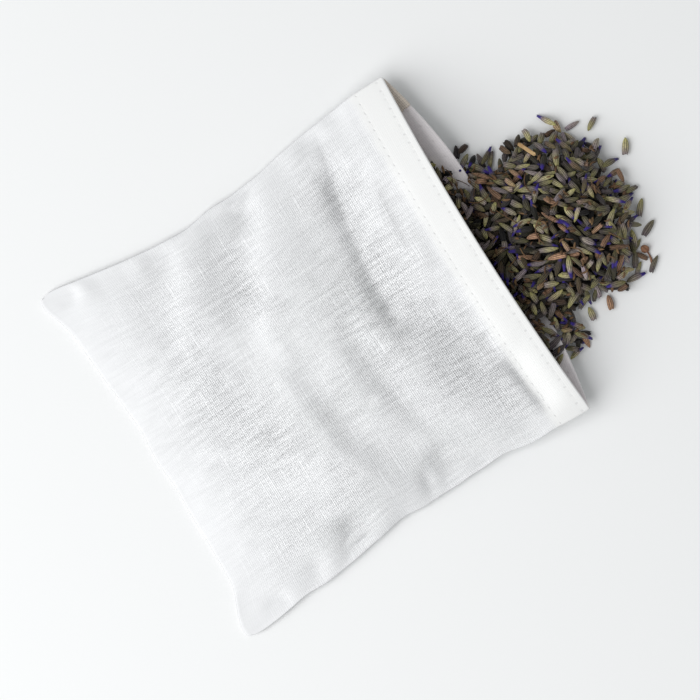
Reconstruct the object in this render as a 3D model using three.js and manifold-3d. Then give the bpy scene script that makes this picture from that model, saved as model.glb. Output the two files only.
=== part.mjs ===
// Lavender sachet: a small plain-weave bag lying open on a table, with dried buds spilling from its mouth.
// Millimetres, +Z up, the table is z = 0. +Y runs from the sewn base to the open mouth, X along the mouth.
// The cloth is described by two parameters: u from -1 to 1 across, v from 0 at the base to 1 at the mouth.
import * as THREE from 'three';
import { mergeVertices } from 'three/addons/utils/BufferGeometryUtils.js';
import Module from 'manifold-3d';

// Outline of the bag as it lies filled
const BAG_LENGTH = 105;
const BASE_WIDTH = 104;
const MOUTH_WIDTH = 102;
const BASE_SHIFT = 1.2;
const MOUTH_SHIFT = -1.4;
const LEFT_DRAW = 5;
const LEFT_DRAW_SHARE = 0.35;
const RIGHT_DRAW = 3.2;
const RIGHT_DRAW_SHARE = 0.55;
const DRAW_SHARPNESS = 4.6;
const BASE_DRAW = 2.7;
const FRONT_LIP_BOW = 2.5;
const BACK_LIP_BOW = 5;

// Heights over the table, and how full the section is
const LIP_HEIGHT = 17.5;
const WEDGE_POWER = 0.7;
const SIDE_FULLNESS = 2.8;
const MOUTH_FULLNESS = 2.1;
const EDGE_LIFT = 2.4;
const MOUTH_CORNER_LIFT = 4;
const FLAT_SHARE = 0.7;
const BASE_RISE_SHARE = 0.16;
const MOUTH_SHARE = 0.6;

// The back lip curls up beside the heap: its height, where it starts along and across the bag, and its ramp
const LIP_CURL = 4;
const CURL_START = 0.84;
const CURL_LEFT = 0.1;
const CURL_RIGHT = 0.3;
const CURL_RAMP = 0.45;

// Cloth, hem and sewing
const CLOTH = 0.4;
const HEM_LAYERS = 3;
const HEM_DEPTH = 9.5;
const HEM_RAMP = 8;
const EDGE_ROW_INSET = 1.8;
const FOLD_ROW_INSET = 8.3;
const THREAD_DIAMETER = 0.32;
const THREAD_GAP = 0.15;
const HEM_ROW_SHARE = 0.97;
const SEAM_ALLOWANCE = 7;
const SEAM_GAP = 0.2;
const BASE_SEAM_SHARE = 0.75;
const BEND_TO_MOUTH = 28;
const CLEARANCE = 0.3;
const FILL_SLACK = 0.7;

// Ridges and creases of the front cloth: ends in x and y, height over the smooth cloth, half width
const FOLDS = [
  { from: [-50, 30.5], to: [12, 21.5], height: -1.8, width: 4.5 },
  { from: [-50, 17], to: [20, -15], height: 0.9, width: 5 },
  { from: [-6, -10.5], to: [45, 1], height: 0.8, width: 5 },
  { from: [-14, 9.5], to: [43, 27], height: -0.7, width: 4 },
];

// Dried lavender: the fill, the tongue of buds in the mouth and the spilled heap
const TONGUE_LEFT = 21;
const TONGUE_RIGHT = 33;
const TONGUE_LENGTH = 25;
const TONGUE_EDGE = 0.8;
const FILL_SIDE_SHARE = 0.6;
const FILL_SIDE_SHARPNESS = 8;
const TONGUE_SIDE_SHARE = 0.7;
const TONGUE_SIDE_SHARPNESS = 6;
const BACK_LIP_MARGIN = 2.5;
const REPOSE_ANGLE = 40;
const BUD_LENGTH = 4.6;
const BUD_DIAMETER = 1.75;
const BUD_SEAT = 0.37;
const HEAP = { x: 3.5, beyondMouth: 16.5, halfX: 22.5, halfY: 21.5, height: 11.5, buds: 80 };
const APRON = { x: 4.5, beyondMouth: 3.5, halfX: 31, halfY: 7, height: 8.5, buds: 32 };
const MOUND_SQUARENESS = 2.5;
const MOUND_ROUNDNESS = 0.75;
const STREWN_SHARE = 0.95;
const SLOPE_STEP_SHARE = 0.04;
const LIP_SWING_ROOM = 1;
const TABLE_DEPTH = 5;
const LEAST_EDGE = 0.1;

// Single buds on the table: centre, turn of the calyx from +X in degrees, length and diameter
const LOOSE_BUDS = [
  { x: -13.2, beyondMouth: 40.6, turn: 121, length: 4.1, diameter: 1.5 },
  { x: -3.5, beyondMouth: 45.1, turn: -34, length: 4.6, diameter: 1.9 },
  { x: 17.9, beyondMouth: 38.8, turn: -65, length: 5, diameter: 1.9 },
  { x: 12.2, beyondMouth: 39.8, turn: -41, length: 4.9, diameter: 1.7 },
  { x: 18.3, beyondMouth: 34, turn: -20, length: 5, diameter: 1.7 },
  { x: 23.2, beyondMouth: 31.4, turn: -34, length: 4.6, diameter: 1.7 },
  { x: 27.2, beyondMouth: 28.6, turn: 84, length: 4.6, diameter: 1.7 },
  { x: 29.2, beyondMouth: 19.8, turn: -18, length: 4.1, diameter: 1.8 },
];
const FLOWER_STUB = { x: 22.2, beyondMouth: 35.1, turn: -8, head: 1.7, stem: 4.2, stemDiameter: 0.55 };
const STALK = { acrossShare: -0.889, alongShare: 0.26, turn: 20, length: 5.2, diameter: 0.9 };

// How finely each kind of surface is divided
const CLOTH_COLUMNS = 32;
const PANEL_ROWS = 17;
const LIP_ROWS = 4;
const HEM_ROWS = 3;
const THREAD_STEPS = 32;
const THREAD_SIDES = 6;
const ALLOWANCE_LENGTHS = 16;
const ALLOWANCE_WIDTHS = 3;
const FILL_COLUMNS = 16;
const FILL_ROWS = 12;
const TONGUE_CELLS = 10;
const ROOM_COLUMNS = 32;
const ROOM_ROWS = 12;
const MOUND_RINGS = 4;
const MOUND_SECTORS = 24;
const HEAP_BUD_SIDES = 4;
const ROUND_SIDES = 8;

const GOLDEN_ANGLE = Math.PI * (3 - Math.sqrt(5));
const HEM_STACK = HEM_LAYERS * CLOTH;
const BACK_LIP_TOP = HEM_STACK + THREAD_GAP + THREAD_DIAMETER;
const HEM_START = 1 - HEM_DEPTH / BAG_LENGTH;
const BEND_AT = 1 - BEND_TO_MOUTH / BAG_LENGTH;
const MOUTH_Y = BAG_LENGTH / 2;
const V_CLEARANCE = CLEARANCE / BAG_LENGTH;

const { lerp, smoothstep, degToRad } = THREE.MathUtils;
const wasm = await Module();
wasm.setup();

// Shape of the cloth

// A hump over v that is 0 at both ends and 1 at its peak.
function hump(v, peak) {
  const along = THREE.MathUtils.clamp(v, 0, 1);
  const rise = (along / peak) ** (DRAW_SHARPNESS * peak);
  const fall = ((1 - along) / (1 - peak)) ** (DRAW_SHARPNESS * (1 - peak));
  return rise * fall;
}

function halfWidth(v) {
  return lerp(BASE_WIDTH, MOUTH_WIDTH, v) / 2;
}

// Where a point of the cloth lies seen from above. The sides and the base draw in as the bag fills.
function plan(u, v, lipBow) {
  const draw = u < 0 ? LEFT_DRAW * hump(v, LEFT_DRAW_SHARE) : RIGHT_DRAW * hump(v, RIGHT_DRAW_SHARE);
  const x = lerp(BASE_SHIFT, MOUTH_SHIFT, v) + halfWidth(v) * u - Math.sign(u) * draw * u * u;
  const bow = BASE_DRAW * (1 - v) ** 2 + lipBow * v * v;
  return [x, BAG_LENGTH * (v - 0.5) + (1 - u * u) * bow];
}

// Where the back lip lies free of the heap: nothing at the middle and at the sewn corners.
function lipFree(u) {
  const left = smoothstep(-u, CURL_LEFT, CURL_LEFT + CURL_RAMP);
  const right = smoothstep(u, CURL_RIGHT, CURL_RIGHT + CURL_RAMP);
  return (left + right) * (1 - u ** 4);
}

// Height of the back cloth's underside: flat on the table, rising to the seams and at the free lip.
function lift(u, v) {
  const side = Math.max(0, (Math.abs(u) - FLAT_SHARE) / (1 - FLAT_SHARE)) ** 2;
  const base = Math.max(0, 1 - v / BASE_RISE_SHARE) ** 2;
  const height = lerp(EDGE_LIFT, MOUTH_CORNER_LIFT, smoothstep(v, MOUTH_SHARE, 1));
  const curl = LIP_CURL * lipFree(u) * smoothstep(v, CURL_START, 1);
  return height * (side + base - side * base) + curl;
}

// Thickness of one side of the seam, which grows to the turned hem near the mouth.
function seamLayer(v) {
  return lerp(CLOTH, HEM_STACK, smoothstep(v, HEM_START - HEM_RAMP / BAG_LENGTH, HEM_START));
}

function seamTop(v) {
  return lift(1, v) + 2 * seamLayer(v) + SEAM_GAP;
}

// Height of the front cloth over its own side seams, on the centre line: a wedge that grows to the mouth.
function crownRise(v) {
  return (LIP_HEIGHT - seamTop(v)) * v ** WEDGE_POWER;
}

function fullness(v) {
  return lerp(SIDE_FULLNESS, MOUTH_FULLNESS, smoothstep(v, MOUTH_SHARE, 1));
}

// Sum of the folds at a point, each a smooth bank along a straight line that dies out at its ends.
function foldHeight(x, y) {
  let sum = 0;
  for (const fold of FOLDS) {
    const start = new THREE.Vector2(...fold.from);
    const run = new THREE.Vector2(...fold.to).sub(start);
    const reach = new THREE.Vector2(x, y).sub(start);
    const along = THREE.MathUtils.clamp(reach.dot(run) / run.lengthSq(), 0, 1);
    const away = reach.sub(run.multiplyScalar(along)).length();
    sum += fold.height * (1 - (2 * along - 1) ** 4) * Math.exp(-((away / fold.width) ** 2));
  }
  return sum;
}

// A point of the front cloth, lowered by a depth under its outer face.
function frontPoint(u, v, depth = 0) {
  const [x, y] = plan(u, v, -FRONT_LIP_BOW);
  const smooth = seamTop(v) + crownRise(v) * (1 - Math.abs(u) ** fullness(v));
  return [x, y, smooth + foldHeight(x, y) * (1 - u * u) - depth];
}

// A point over the back cloth, raised over its underside.
function backPoint(u, v, height = 0) {
  return [...plan(u, v, BACK_LIP_BOW), lift(u, v) + height];
}

// Solids

// A closed slab between an upper and a lower surface, each a function of s and t from 0 to 1.
function slab(upper, lower, across, along) {
  const positions = [];
  for (const surface of [upper, lower]) {
    for (let j = 0; j <= along; j += 1) {
      for (let i = 0; i <= across; i += 1) positions.push(...surface(i / across, j / along));
    }
  }
  const at = (layer, i, j) => (layer * (along + 1) + j) * (across + 1) + i;
  const index = [];
  const quad = (a, b, c, d) => index.push(a, b, c, a, c, d);
  for (let j = 0; j < along; j += 1) {
    for (let i = 0; i < across; i += 1) {
      quad(at(0, i, j), at(0, i + 1, j), at(0, i + 1, j + 1), at(0, i, j + 1));
      quad(at(1, i, j), at(1, i, j + 1), at(1, i + 1, j + 1), at(1, i + 1, j));
    }
    quad(at(0, 0, j), at(0, 0, j + 1), at(1, 0, j + 1), at(1, 0, j));
    quad(at(1, across, j), at(1, across, j + 1), at(0, across, j + 1), at(0, across, j));
  }
  for (let i = 0; i < across; i += 1) {
    quad(at(1, i, 0), at(1, i + 1, 0), at(0, i + 1, 0), at(0, i, 0));
    quad(at(0, i, along), at(0, i + 1, along), at(1, i + 1, along), at(1, i, along));
  }
  return closedGeometry(positions, index);
}

function closedGeometry(positions, index) {
  const geometry = new THREE.BufferGeometry();
  geometry.setAttribute('position', new THREE.Float32BufferAttribute(positions, 3));
  geometry.setIndex(index);
  geometry.computeVertexNormals();
  return geometry;
}

// A sewing thread: a thin round tube through points given by a function of s from 0 to 1.
function thread(pointAt, steps) {
  const points = Array.from({ length: steps + 1 }, (_, i) => new THREE.Vector3(...pointAt(i / steps)));
  const section = new THREE.Shape().absarc(0, 0, THREAD_DIAMETER / 2, 0, 2 * Math.PI);
  return new THREE.ExtrudeGeometry(section, {
    steps,
    curveSegments: THREAD_SIDES / 2,
    extrudePath: new THREE.CatmullRomCurve3(points),
  });
}

// A dried calyx along +X, centred on its middle: pointed base, fuller towards its open end.
function budGeometry(length, diameter, sides) {
  const radius = diameter / 2;
  const profile = [[0, 0], [0.78, 0.28], [1, 0.66], [0.72, 0.97], [0, 1]];
  const points = profile.map(([r, h]) => new THREE.Vector2(r * radius, h * length));
  return new THREE.LatheGeometry(points, sides).translate(0, -length / 2, 0).rotateZ(-Math.PI / 2);
}

// A low mound on the table, steep at its rim and round on top.
function moundGeometry(mound) {
  const centreY = MOUTH_Y + mound.beyondMouth;
  const positions = [mound.x, centreY, mound.height, mound.x, centreY, 0];
  for (let k = 1; k <= MOUND_RINGS; k += 1) {
    for (let i = 0; i < MOUND_SECTORS; i += 1) {
      positions.push(...moundPoint(mound, k / MOUND_RINGS, i / MOUND_SECTORS));
    }
  }
  const at = (k, i) => 2 + (k - 1) * MOUND_SECTORS + (i % MOUND_SECTORS);
  const index = [];
  for (let i = 0; i < MOUND_SECTORS; i += 1) {
    index.push(0, at(1, i), at(1, i + 1));
    for (let k = 1; k < MOUND_RINGS; k += 1) {
      index.push(at(k, i), at(k + 1, i), at(k + 1, i + 1), at(k, i), at(k + 1, i + 1), at(k, i + 1));
    }
    index.push(1, at(MOUND_RINGS, i + 1), at(MOUND_RINGS, i));
  }
  return closedGeometry(positions, index);
}

// A point of a mound at a share of the way from its top to its rim. The foot is a superellipse.
function moundPoint({ x, beyondMouth, halfX, halfY, height }, share, turn) {
  const angle = 2 * Math.PI * turn;
  const squared = (value) => Math.sign(value) * Math.abs(value) ** (2 / MOUND_SQUARENESS);
  return [
    x + share * halfX * squared(Math.cos(angle)),
    MOUTH_Y + beyondMouth + share * halfY * squared(Math.sin(angle)),
    height * (1 - share * share) ** MOUND_ROUNDNESS,
  ];
}

// Buds strewn evenly over a mound, each half sunk into it and turned its own way. Those at the rim are cut
// flat by the table.
function strewnBuds(mound) {
  const buds = [];
  for (let i = 0; i < mound.buds; i += 1) {
    const share = STREWN_SHARE * Math.sqrt((i + 0.5) / mound.buds);
    const turn = (i * GOLDEN_ANGLE) / (2 * Math.PI);
    const place = new THREE.Vector3(...moundPoint(mound, share, turn));
    const heading = i * i * GOLDEN_ANGLE;
    const slope = moundPoint(mound, Math.min(share + SLOPE_STEP_SHARE, 1), turn)[2] - place.z;
    const radial = Math.cos(heading - turn * 2 * Math.PI);
    const dip = Math.atan2(slope * radial, SLOPE_STEP_SHARE * mound.halfX);
    const pose = new THREE.Matrix4().makeRotationFromEuler(new THREE.Euler(0, -dip, heading, 'ZYX'));
    place.z = Math.max(place.z, BUD_SEAT * BUD_DIAMETER);
    buds.push(budGeometry(BUD_LENGTH, BUD_DIAMETER, HEAP_BUD_SIDES).applyMatrix4(pose.setPosition(place)));
  }
  return buds;
}

// Joining and cutting

function solidOf(geometry) {
  const bare = new THREE.BufferGeometry();
  bare.setAttribute('position', geometry.getAttribute('position'));
  bare.setIndex(geometry.getIndex());
  const merged = mergeVertices(bare, 1e-4);
  const corners = merged.getIndex().array;
  const kept = [];
  for (let i = 0; i < corners.length; i += 3) {
    const [a, b, c] = corners.slice(i, i + 3);
    if (a !== b && b !== c && c !== a) kept.push(a, b, c);
  }
  return new wasm.Manifold(new wasm.Mesh({
    numProp: 3,
    vertProperties: new Float32Array(merged.getAttribute('position').array),
    triVerts: new Uint32Array(kept),
  }));
}

function geometryOf(solid) {
  const { vertProperties, triVerts } = solid.getMesh();
  return closedGeometry(Array.from(vertProperties), Array.from(triVerts));
}

// The largest of the bodies that a cut leaves.
function largestBody(solid) {
  return solid.decompose().reduce((best, body) => (body.volume() > best.volume() ? body : best));
}

// Bag pieces

// A strip of cloth from one v to another, with its outer face on the given surface.
function clothStrip(surface, thickness, start, end, rows) {
  const at = (s, t, offset) => surface(2 * s - 1, lerp(start, end, t), offset);
  const [high, low] = surface === frontPoint ? [0, thickness] : [thickness, 0];
  return slab((s, t) => at(s, t, high), (s, t) => at(s, t, low), CLOTH_COLUMNS, rows);
}

// Least distance in u from a side seam at which the turned-in allowance fits between the two cloths.
function allowanceOuter(v) {
  const needed = 2 * CLOTH + 2 * CLEARANCE - SEAM_GAP;
  return (1 - needed / crownRise(v)) ** (1 / fullness(v));
}

function allowanceInner(v) {
  return allowanceOuter(v) - SEAM_ALLOWANCE / halfWidth(v);
}

// The same distance in v from the base seam, at the ends of the base allowance.
function baseAllowanceStart() {
  const needed = (2 * CLOTH + 2 * CLEARANCE - SEAM_GAP) / (1 - BASE_SEAM_SHARE ** SIDE_FULLNESS);
  return (needed / (LIP_HEIGHT - seamTop(0))) ** (1 / WEDGE_POWER);
}

const BASE_ALLOWANCE_START = baseAllowanceStart();
const BASE_ALLOWANCE_END = BASE_ALLOWANCE_START + SEAM_ALLOWANCE / BAG_LENGTH;
const SIDE_START = BASE_ALLOWANCE_END + V_CLEARANCE;
const SIDE_END = HEM_START - V_CLEARANCE;
const INNER_FLOOR = CLOTH + CLEARANCE;

function sideAllowance(side) {
  const at = (s, t, height) => {
    const v = lerp(SIDE_START, SIDE_END, t);
    const ends = [side * allowanceOuter(v), side * allowanceInner(v)];
    return backPoint(lerp(Math.min(...ends), Math.max(...ends), s), v, height);
  };
  const upper = (s, t) => at(s, t, INNER_FLOOR + 2 * CLOTH);
  return slab(upper, (s, t) => at(s, t, INNER_FLOOR), ALLOWANCE_WIDTHS, ALLOWANCE_LENGTHS);
}

function baseAllowance() {
  const at = (s, t, height) => backPoint(
    BASE_SEAM_SHARE * (2 * s - 1), lerp(BASE_ALLOWANCE_START, BASE_ALLOWANCE_END, t), height);
  const upper = (s, t) => at(s, t, INNER_FLOOR + 2 * CLOTH);
  return slab(upper, (s, t) => at(s, t, INNER_FLOOR), ALLOWANCE_LENGTHS, ALLOWANCE_WIDTHS);
}

// The seam threads lie between the two cloths, half way from the seam to the allowance.
function sideSeamThread(side) {
  return thread((s) => {
    const v = lerp(SIDE_START, SIDE_END, s);
    return backPoint(side * (1 + allowanceOuter(v)) / 2, v, CLOTH + THREAD_GAP + THREAD_DIAMETER / 2);
  }, THREAD_STEPS);
}

function baseSeamThread() {
  const height = CLOTH + THREAD_GAP + THREAD_DIAMETER / 2;
  const at = (s) => backPoint(BASE_SEAM_SHARE * (2 * s - 1), BASE_ALLOWANCE_START / 2, height);
  return thread(at, THREAD_STEPS);
}

// A hem row lies on the outer face of the front hem, or on the upper face of the back hem.
function hemThread(surface, inset) {
  const rise = THREAD_GAP + THREAD_DIAMETER / 2;
  const offset = surface === frontPoint ? -rise : HEM_STACK + rise;
  return thread((s) => surface(HEM_ROW_SHARE * (2 * s - 1), 1 - inset / BAG_LENGTH, offset), THREAD_STEPS);
}

// Lavender pieces

const TONGUE_START = 1 - TONGUE_LENGTH / BAG_LENGTH;

// The fill follows both cloths inside, rounded at its sides.
function fillGeometry() {
  const at = (s, t) => {
    const v = lerp(SIDE_START, TONGUE_START - V_CLEARANCE, t);
    const reach = allowanceInner(v) - CLEARANCE / halfWidth(v);
    return [reach * (2 * s - 1), v];
  };
  const lower = (s, t) => {
    const [u, v] = at(s, t);
    return [...plan(u, v, -FRONT_LIP_BOW), lift(u, v) + INNER_FLOOR];
  };
  const upper = (s, t) => {
    const point = frontPoint(...at(s, t), CLOTH + FILL_SLACK);
    const floor = lower(s, t)[2];
    point[2] = lerp(point[2], floor, FILL_SIDE_SHARE * Math.abs(2 * s - 1) ** FILL_SIDE_SHARPNESS);
    return point;
  };
  return slab(upper, lower, FILL_COLUMNS, FILL_ROWS);
}

// Buds in the mouth: under the lip, then falling at their angle of repose onto the back lip.
// A growth of the tongue gives the room that other pieces keep from it.
function tongueGeometry(growth = 0) {
  const floorAt = (u, v) => lift(u, v) + BACK_LIP_TOP + CLEARANCE;
  const endY = MOUTH_Y + BACK_LIP_BOW - BACK_LIP_MARGIN;
  const endV = (endY + FRONT_LIP_BOW + growth) / BAG_LENGTH + 0.5;
  const at = (s, t) => {
    const v = lerp(TONGUE_START - growth / BAG_LENGTH, endV, t);
    return [lerp(-TONGUE_LEFT - growth, TONGUE_RIGHT + growth, s) / halfWidth(v), v];
  };
  const lower = (s, t) => {
    const [u, v] = at(s, t);
    return [...plan(u, v, -FRONT_LIP_BOW), floorAt(u, v) - growth];
  };
  const upper = (s, t) => {
    const [u, v] = at(s, t);
    const [x, y] = plan(u, v, -FRONT_LIP_BOW);
    const floor = floorAt(u, v);
    const underLip = frontPoint(u, Math.min(v, 1), HEM_STACK + FILL_SLACK)[2];
    const slope = floor + TONGUE_EDGE + Math.max(0, endY - y) * Math.tan(degToRad(REPOSE_ANGLE));
    const side = TONGUE_SIDE_SHARE * Math.abs(2 * s - 1) ** TONGUE_SIDE_SHARPNESS;
    const top = lerp(Math.min(underLip, slope), floor + TONGUE_EDGE, side);
    return [x, y, top + growth];
  };
  return slab(upper, lower, TONGUE_CELLS, TONGUE_CELLS);
}

// The heap rests on the table and on the back lip, and stays out of the front lip's swing.
function heapGeometry(looseRooms) {
  const below = (u, v) => [...plan(u, v, BACK_LIP_BOW), -TABLE_DEPTH];
  const lipRoom = slab(
    (s, t) => backPoint(2 * s - 1, lerp(BEND_AT, 1 + V_CLEARANCE, t), BACK_LIP_TOP + CLEARANCE),
    (s, t) => below(2 * s - 1, lerp(BEND_AT, 1 + V_CLEARANCE, t)), ROOM_COLUMNS, ROOM_ROWS);
  const swingEnd = 1 + LIP_SWING_ROOM / BAG_LENGTH;
  const swingAt = (s, t, z) => [...plan(2 * s - 1, lerp(BEND_AT, swingEnd, t), -FRONT_LIP_BOW), z];
  const swingRoom = slab(
    (s, t) => swingAt(s, t, 2 * LIP_HEIGHT), (s, t) => swingAt(s, t, -TABLE_DEPTH),
    ROOM_COLUMNS, ROOM_ROWS);
  const table = new THREE.BoxGeometry(4 * BAG_LENGTH, 4 * BAG_LENGTH, TABLE_DEPTH);
  table.translate(0, 0, -TABLE_DEPTH / 2);

  const grown = [moundGeometry(APRON), ...strewnBuds(HEAP), ...strewnBuds(APRON)];
  const cuts = [lipRoom, swingRoom, tongueGeometry(CLEARANCE), table, ...looseRooms];
  let heap = solidOf(moundGeometry(HEAP));
  for (const geometry of grown) heap = heap.add(solidOf(geometry));
  for (const geometry of cuts) heap = heap.subtract(solidOf(geometry));
  return geometryOf(largestBody(heap.asOriginal().simplify(LEAST_EDGE)));
}

// A single bud resting on the table.
function looseBudGeometry({ x, beyondMouth, turn, length, diameter }, growth = 0) {
  return budGeometry(length + 2 * growth, diameter + 2 * growth, ROUND_SIDES)
    .rotateZ(degToRad(turn))
    .translate(x, MOUTH_Y + beyondMouth, diameter / 2);
}

// A withered flower on a short thin stem.
function flowerStubGeometry({ x, beyondMouth, turn, head, stem, stemDiameter }) {
  const headBall = new THREE.SphereGeometry(head / 2, ROUND_SIDES, ROUND_SIDES / 2);
  const stemRod = new THREE.CylinderGeometry(stemDiameter / 2, stemDiameter / 2, stem, THREAD_SIDES)
    .rotateZ(-Math.PI / 2)
    .translate(stem / 2, 0, (stemDiameter - head) / 2);
  return geometryOf(solidOf(headBall).add(solidOf(stemRod)))
    .rotateZ(degToRad(turn))
    .translate(x, MOUTH_Y + beyondMouth, head / 2);
}

// A short piece of stalk lying on the heap's flank, at shares of the heap's half lengths from its middle.
function stalkGeometry({ acrossShare, alongShare, turn, length, diameter }, growth = 0) {
  const foot = Math.abs(acrossShare) ** MOUND_SQUARENESS + Math.abs(alongShare) ** MOUND_SQUARENESS;
  const share = foot ** (1 / MOUND_SQUARENESS);
  const flank = HEAP.height * (1 - share * share) ** MOUND_ROUNDNESS;
  const x = HEAP.x + acrossShare * HEAP.halfX;
  const y = MOUTH_Y + HEAP.beyondMouth + alongShare * HEAP.halfY;
  const radius = diameter / 2 + growth;
  return new THREE.CylinderGeometry(radius, radius, length + 2 * growth, ROUND_SIDES)
    .rotateZ(-Math.PI / 2)
    .rotateZ(degToRad(turn))
    .translate(x, y, flank + BUD_DIAMETER / 2);
}

// Assembly

function matt(color, roughness) {
  return () => new THREE.MeshStandardMaterial({ color, roughness, metalness: 0 });
}

const muslin = matt(0xe9e9ec, 0.95);
const hemCloth = matt(0xf4f4f4, 0.95);
const rawEdge = matt(0xdcd5c6, 0.95);
const sewingThread = matt(0xf7f7f5, 0.8);
const driedBuds = matt(0x5b574c, 0.9);
const singleBud = matt(0x66553f, 0.9);
const witheredFlower = matt(0x6b4630, 0.9);
const dryStalk = matt(0xa88a5c, 0.85);

function addPiece(group, name, geometry, material) {
  const mesh = new THREE.Mesh(geometry, material());
  mesh.name = name;
  group.add(mesh);
}

const PANEL_END = BEND_AT - V_CLEARANCE / 2;
const LIP_START = BEND_AT + V_CLEARANCE / 2;

const bag = new THREE.Group();
addPiece(bag, 'back_panel', clothStrip(backPoint, CLOTH, 0, SIDE_END, PANEL_ROWS), muslin);
addPiece(bag, 'front_panel', clothStrip(frontPoint, CLOTH, 0, PANEL_END, PANEL_ROWS), muslin);
addPiece(bag, 'back_hem', clothStrip(backPoint, HEM_STACK, HEM_START, 1, HEM_ROWS), hemCloth);
addPiece(bag, 'back_hem_edge_thread', hemThread(backPoint, EDGE_ROW_INSET), sewingThread);
addPiece(bag, 'back_hem_fold_thread', hemThread(backPoint, FOLD_ROW_INSET), sewingThread);
addPiece(bag, 'left_seam_allowance', sideAllowance(-1), rawEdge);
addPiece(bag, 'right_seam_allowance', sideAllowance(1), rawEdge);
addPiece(bag, 'base_seam_allowance', baseAllowance(), rawEdge);
addPiece(bag, 'left_seam_thread', sideSeamThread(-1), sewingThread);
addPiece(bag, 'right_seam_thread', sideSeamThread(1), sewingThread);
addPiece(bag, 'base_seam_thread', baseSeamThread(), sewingThread);
addPiece(bag, 'lavender_fill', fillGeometry(), driedBuds);
addPiece(bag, 'mouth_buds', tongueGeometry(), driedBuds);

const frontLip = new THREE.Group();
addPiece(frontLip, 'front_lip_panel', clothStrip(frontPoint, CLOTH, LIP_START, SIDE_END, LIP_ROWS), muslin);
addPiece(frontLip, 'front_hem', clothStrip(frontPoint, HEM_STACK, HEM_START, 1, HEM_ROWS), hemCloth);
addPiece(frontLip, 'front_hem_edge_thread', hemThread(frontPoint, EDGE_ROW_INSET), sewingThread);
addPiece(frontLip, 'front_hem_fold_thread', hemThread(frontPoint, FOLD_ROW_INSET), sewingThread);

const spill = new THREE.Group();
const looseRooms = LOOSE_BUDS.map((bud) => looseBudGeometry(bud, CLEARANCE));
looseRooms.push(stalkGeometry(STALK, CLEARANCE));
addPiece(spill, 'spill_heap', heapGeometry(looseRooms), driedBuds);
LOOSE_BUDS.forEach((bud, i) => addPiece(spill, `loose_bud_${i + 1}`, looseBudGeometry(bud), singleBud));
addPiece(spill, 'flower_stub', flowerStubGeometry(FLOWER_STUB), witheredFlower);
addPiece(spill, 'stalk_piece', stalkGeometry(STALK), dryStalk);

const sachet = new THREE.Group();
sachet.add(bag, frontLip, spill);

export default sachet;
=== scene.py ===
"""Looks of a lavender sachet: a small muslin bag on its back, with dried buds spilling from its open mouth.

Sizes are in millimetres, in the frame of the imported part: the table is z = 0, +Y runs from the sewn base of
the bag to its mouth and X along the mouth. The cloth is described by two parameters, u from -1 to 1 across
and v from 0 at the base to 1 at the mouth. Meshes are turned into metres when they are made.
"""

from __future__ import annotations

import logging
import math
from dataclasses import dataclass, field
from enum import Enum

import bpy
import numpy as np
from mathutils import Matrix, Vector

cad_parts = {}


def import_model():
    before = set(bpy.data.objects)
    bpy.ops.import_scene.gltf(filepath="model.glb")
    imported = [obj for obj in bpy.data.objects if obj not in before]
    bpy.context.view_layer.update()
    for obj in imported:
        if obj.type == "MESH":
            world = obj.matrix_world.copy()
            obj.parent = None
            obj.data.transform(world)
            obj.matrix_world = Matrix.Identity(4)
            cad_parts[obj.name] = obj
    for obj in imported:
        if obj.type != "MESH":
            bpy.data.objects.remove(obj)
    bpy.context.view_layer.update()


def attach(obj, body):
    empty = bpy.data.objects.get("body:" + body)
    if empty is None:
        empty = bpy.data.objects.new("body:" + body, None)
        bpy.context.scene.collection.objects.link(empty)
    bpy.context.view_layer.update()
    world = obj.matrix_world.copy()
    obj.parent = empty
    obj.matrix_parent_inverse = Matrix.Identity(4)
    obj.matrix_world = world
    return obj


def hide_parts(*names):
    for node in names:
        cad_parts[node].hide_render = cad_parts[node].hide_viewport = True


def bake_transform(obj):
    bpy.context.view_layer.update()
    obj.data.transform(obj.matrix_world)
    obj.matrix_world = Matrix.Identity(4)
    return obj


MM = 0.001
SEED = 1402
LATTICE = 64
LEAST_HEIGHT = 0.02
Colour = tuple[float, float, float, float]
Pair = tuple[float, float]
log = logging.getLogger("sachet")


class Body(Enum):
    """The bodies that the pieces ride on."""

    BAG = "bag"
    LIP = "front_lip"
    SPILL = "spill"


class Slot(Enum):
    """The record's material slots."""

    MUSLIN = "muslin"
    RAW_EDGE = "raw_edge_cloth"
    THREAD = "sewing_thread"
    BUDS = "dried_buds"
    SINGLE_BUD = "single_buds"
    FLOWER = "withered_flower"
    STALK = "dry_stalk"


class Face(Enum):
    """Which face of a panel looks into the bag, as a value on the panel's upper face."""

    FRONT = 0.0
    BACK = 1.0


# Small formulas

def smoothstep(value: np.ndarray, low: float, high: float) -> np.ndarray:
    """Rises from 0 at low to 1 at high with level ends.

    Args:
        value: Where to evaluate.
        low: Start of the rise.
        high: End of the rise.

    Returns:
        An array shaped as value.
    """
    t = np.clip((value - low) / (high - low), 0, 1)
    return t * t * (3 - 2 * t)


def mix(a: np.ndarray, b: np.ndarray, share: np.ndarray) -> np.ndarray:
    """The value at a share of the way from a to b."""
    return a + (b - a) * share


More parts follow.
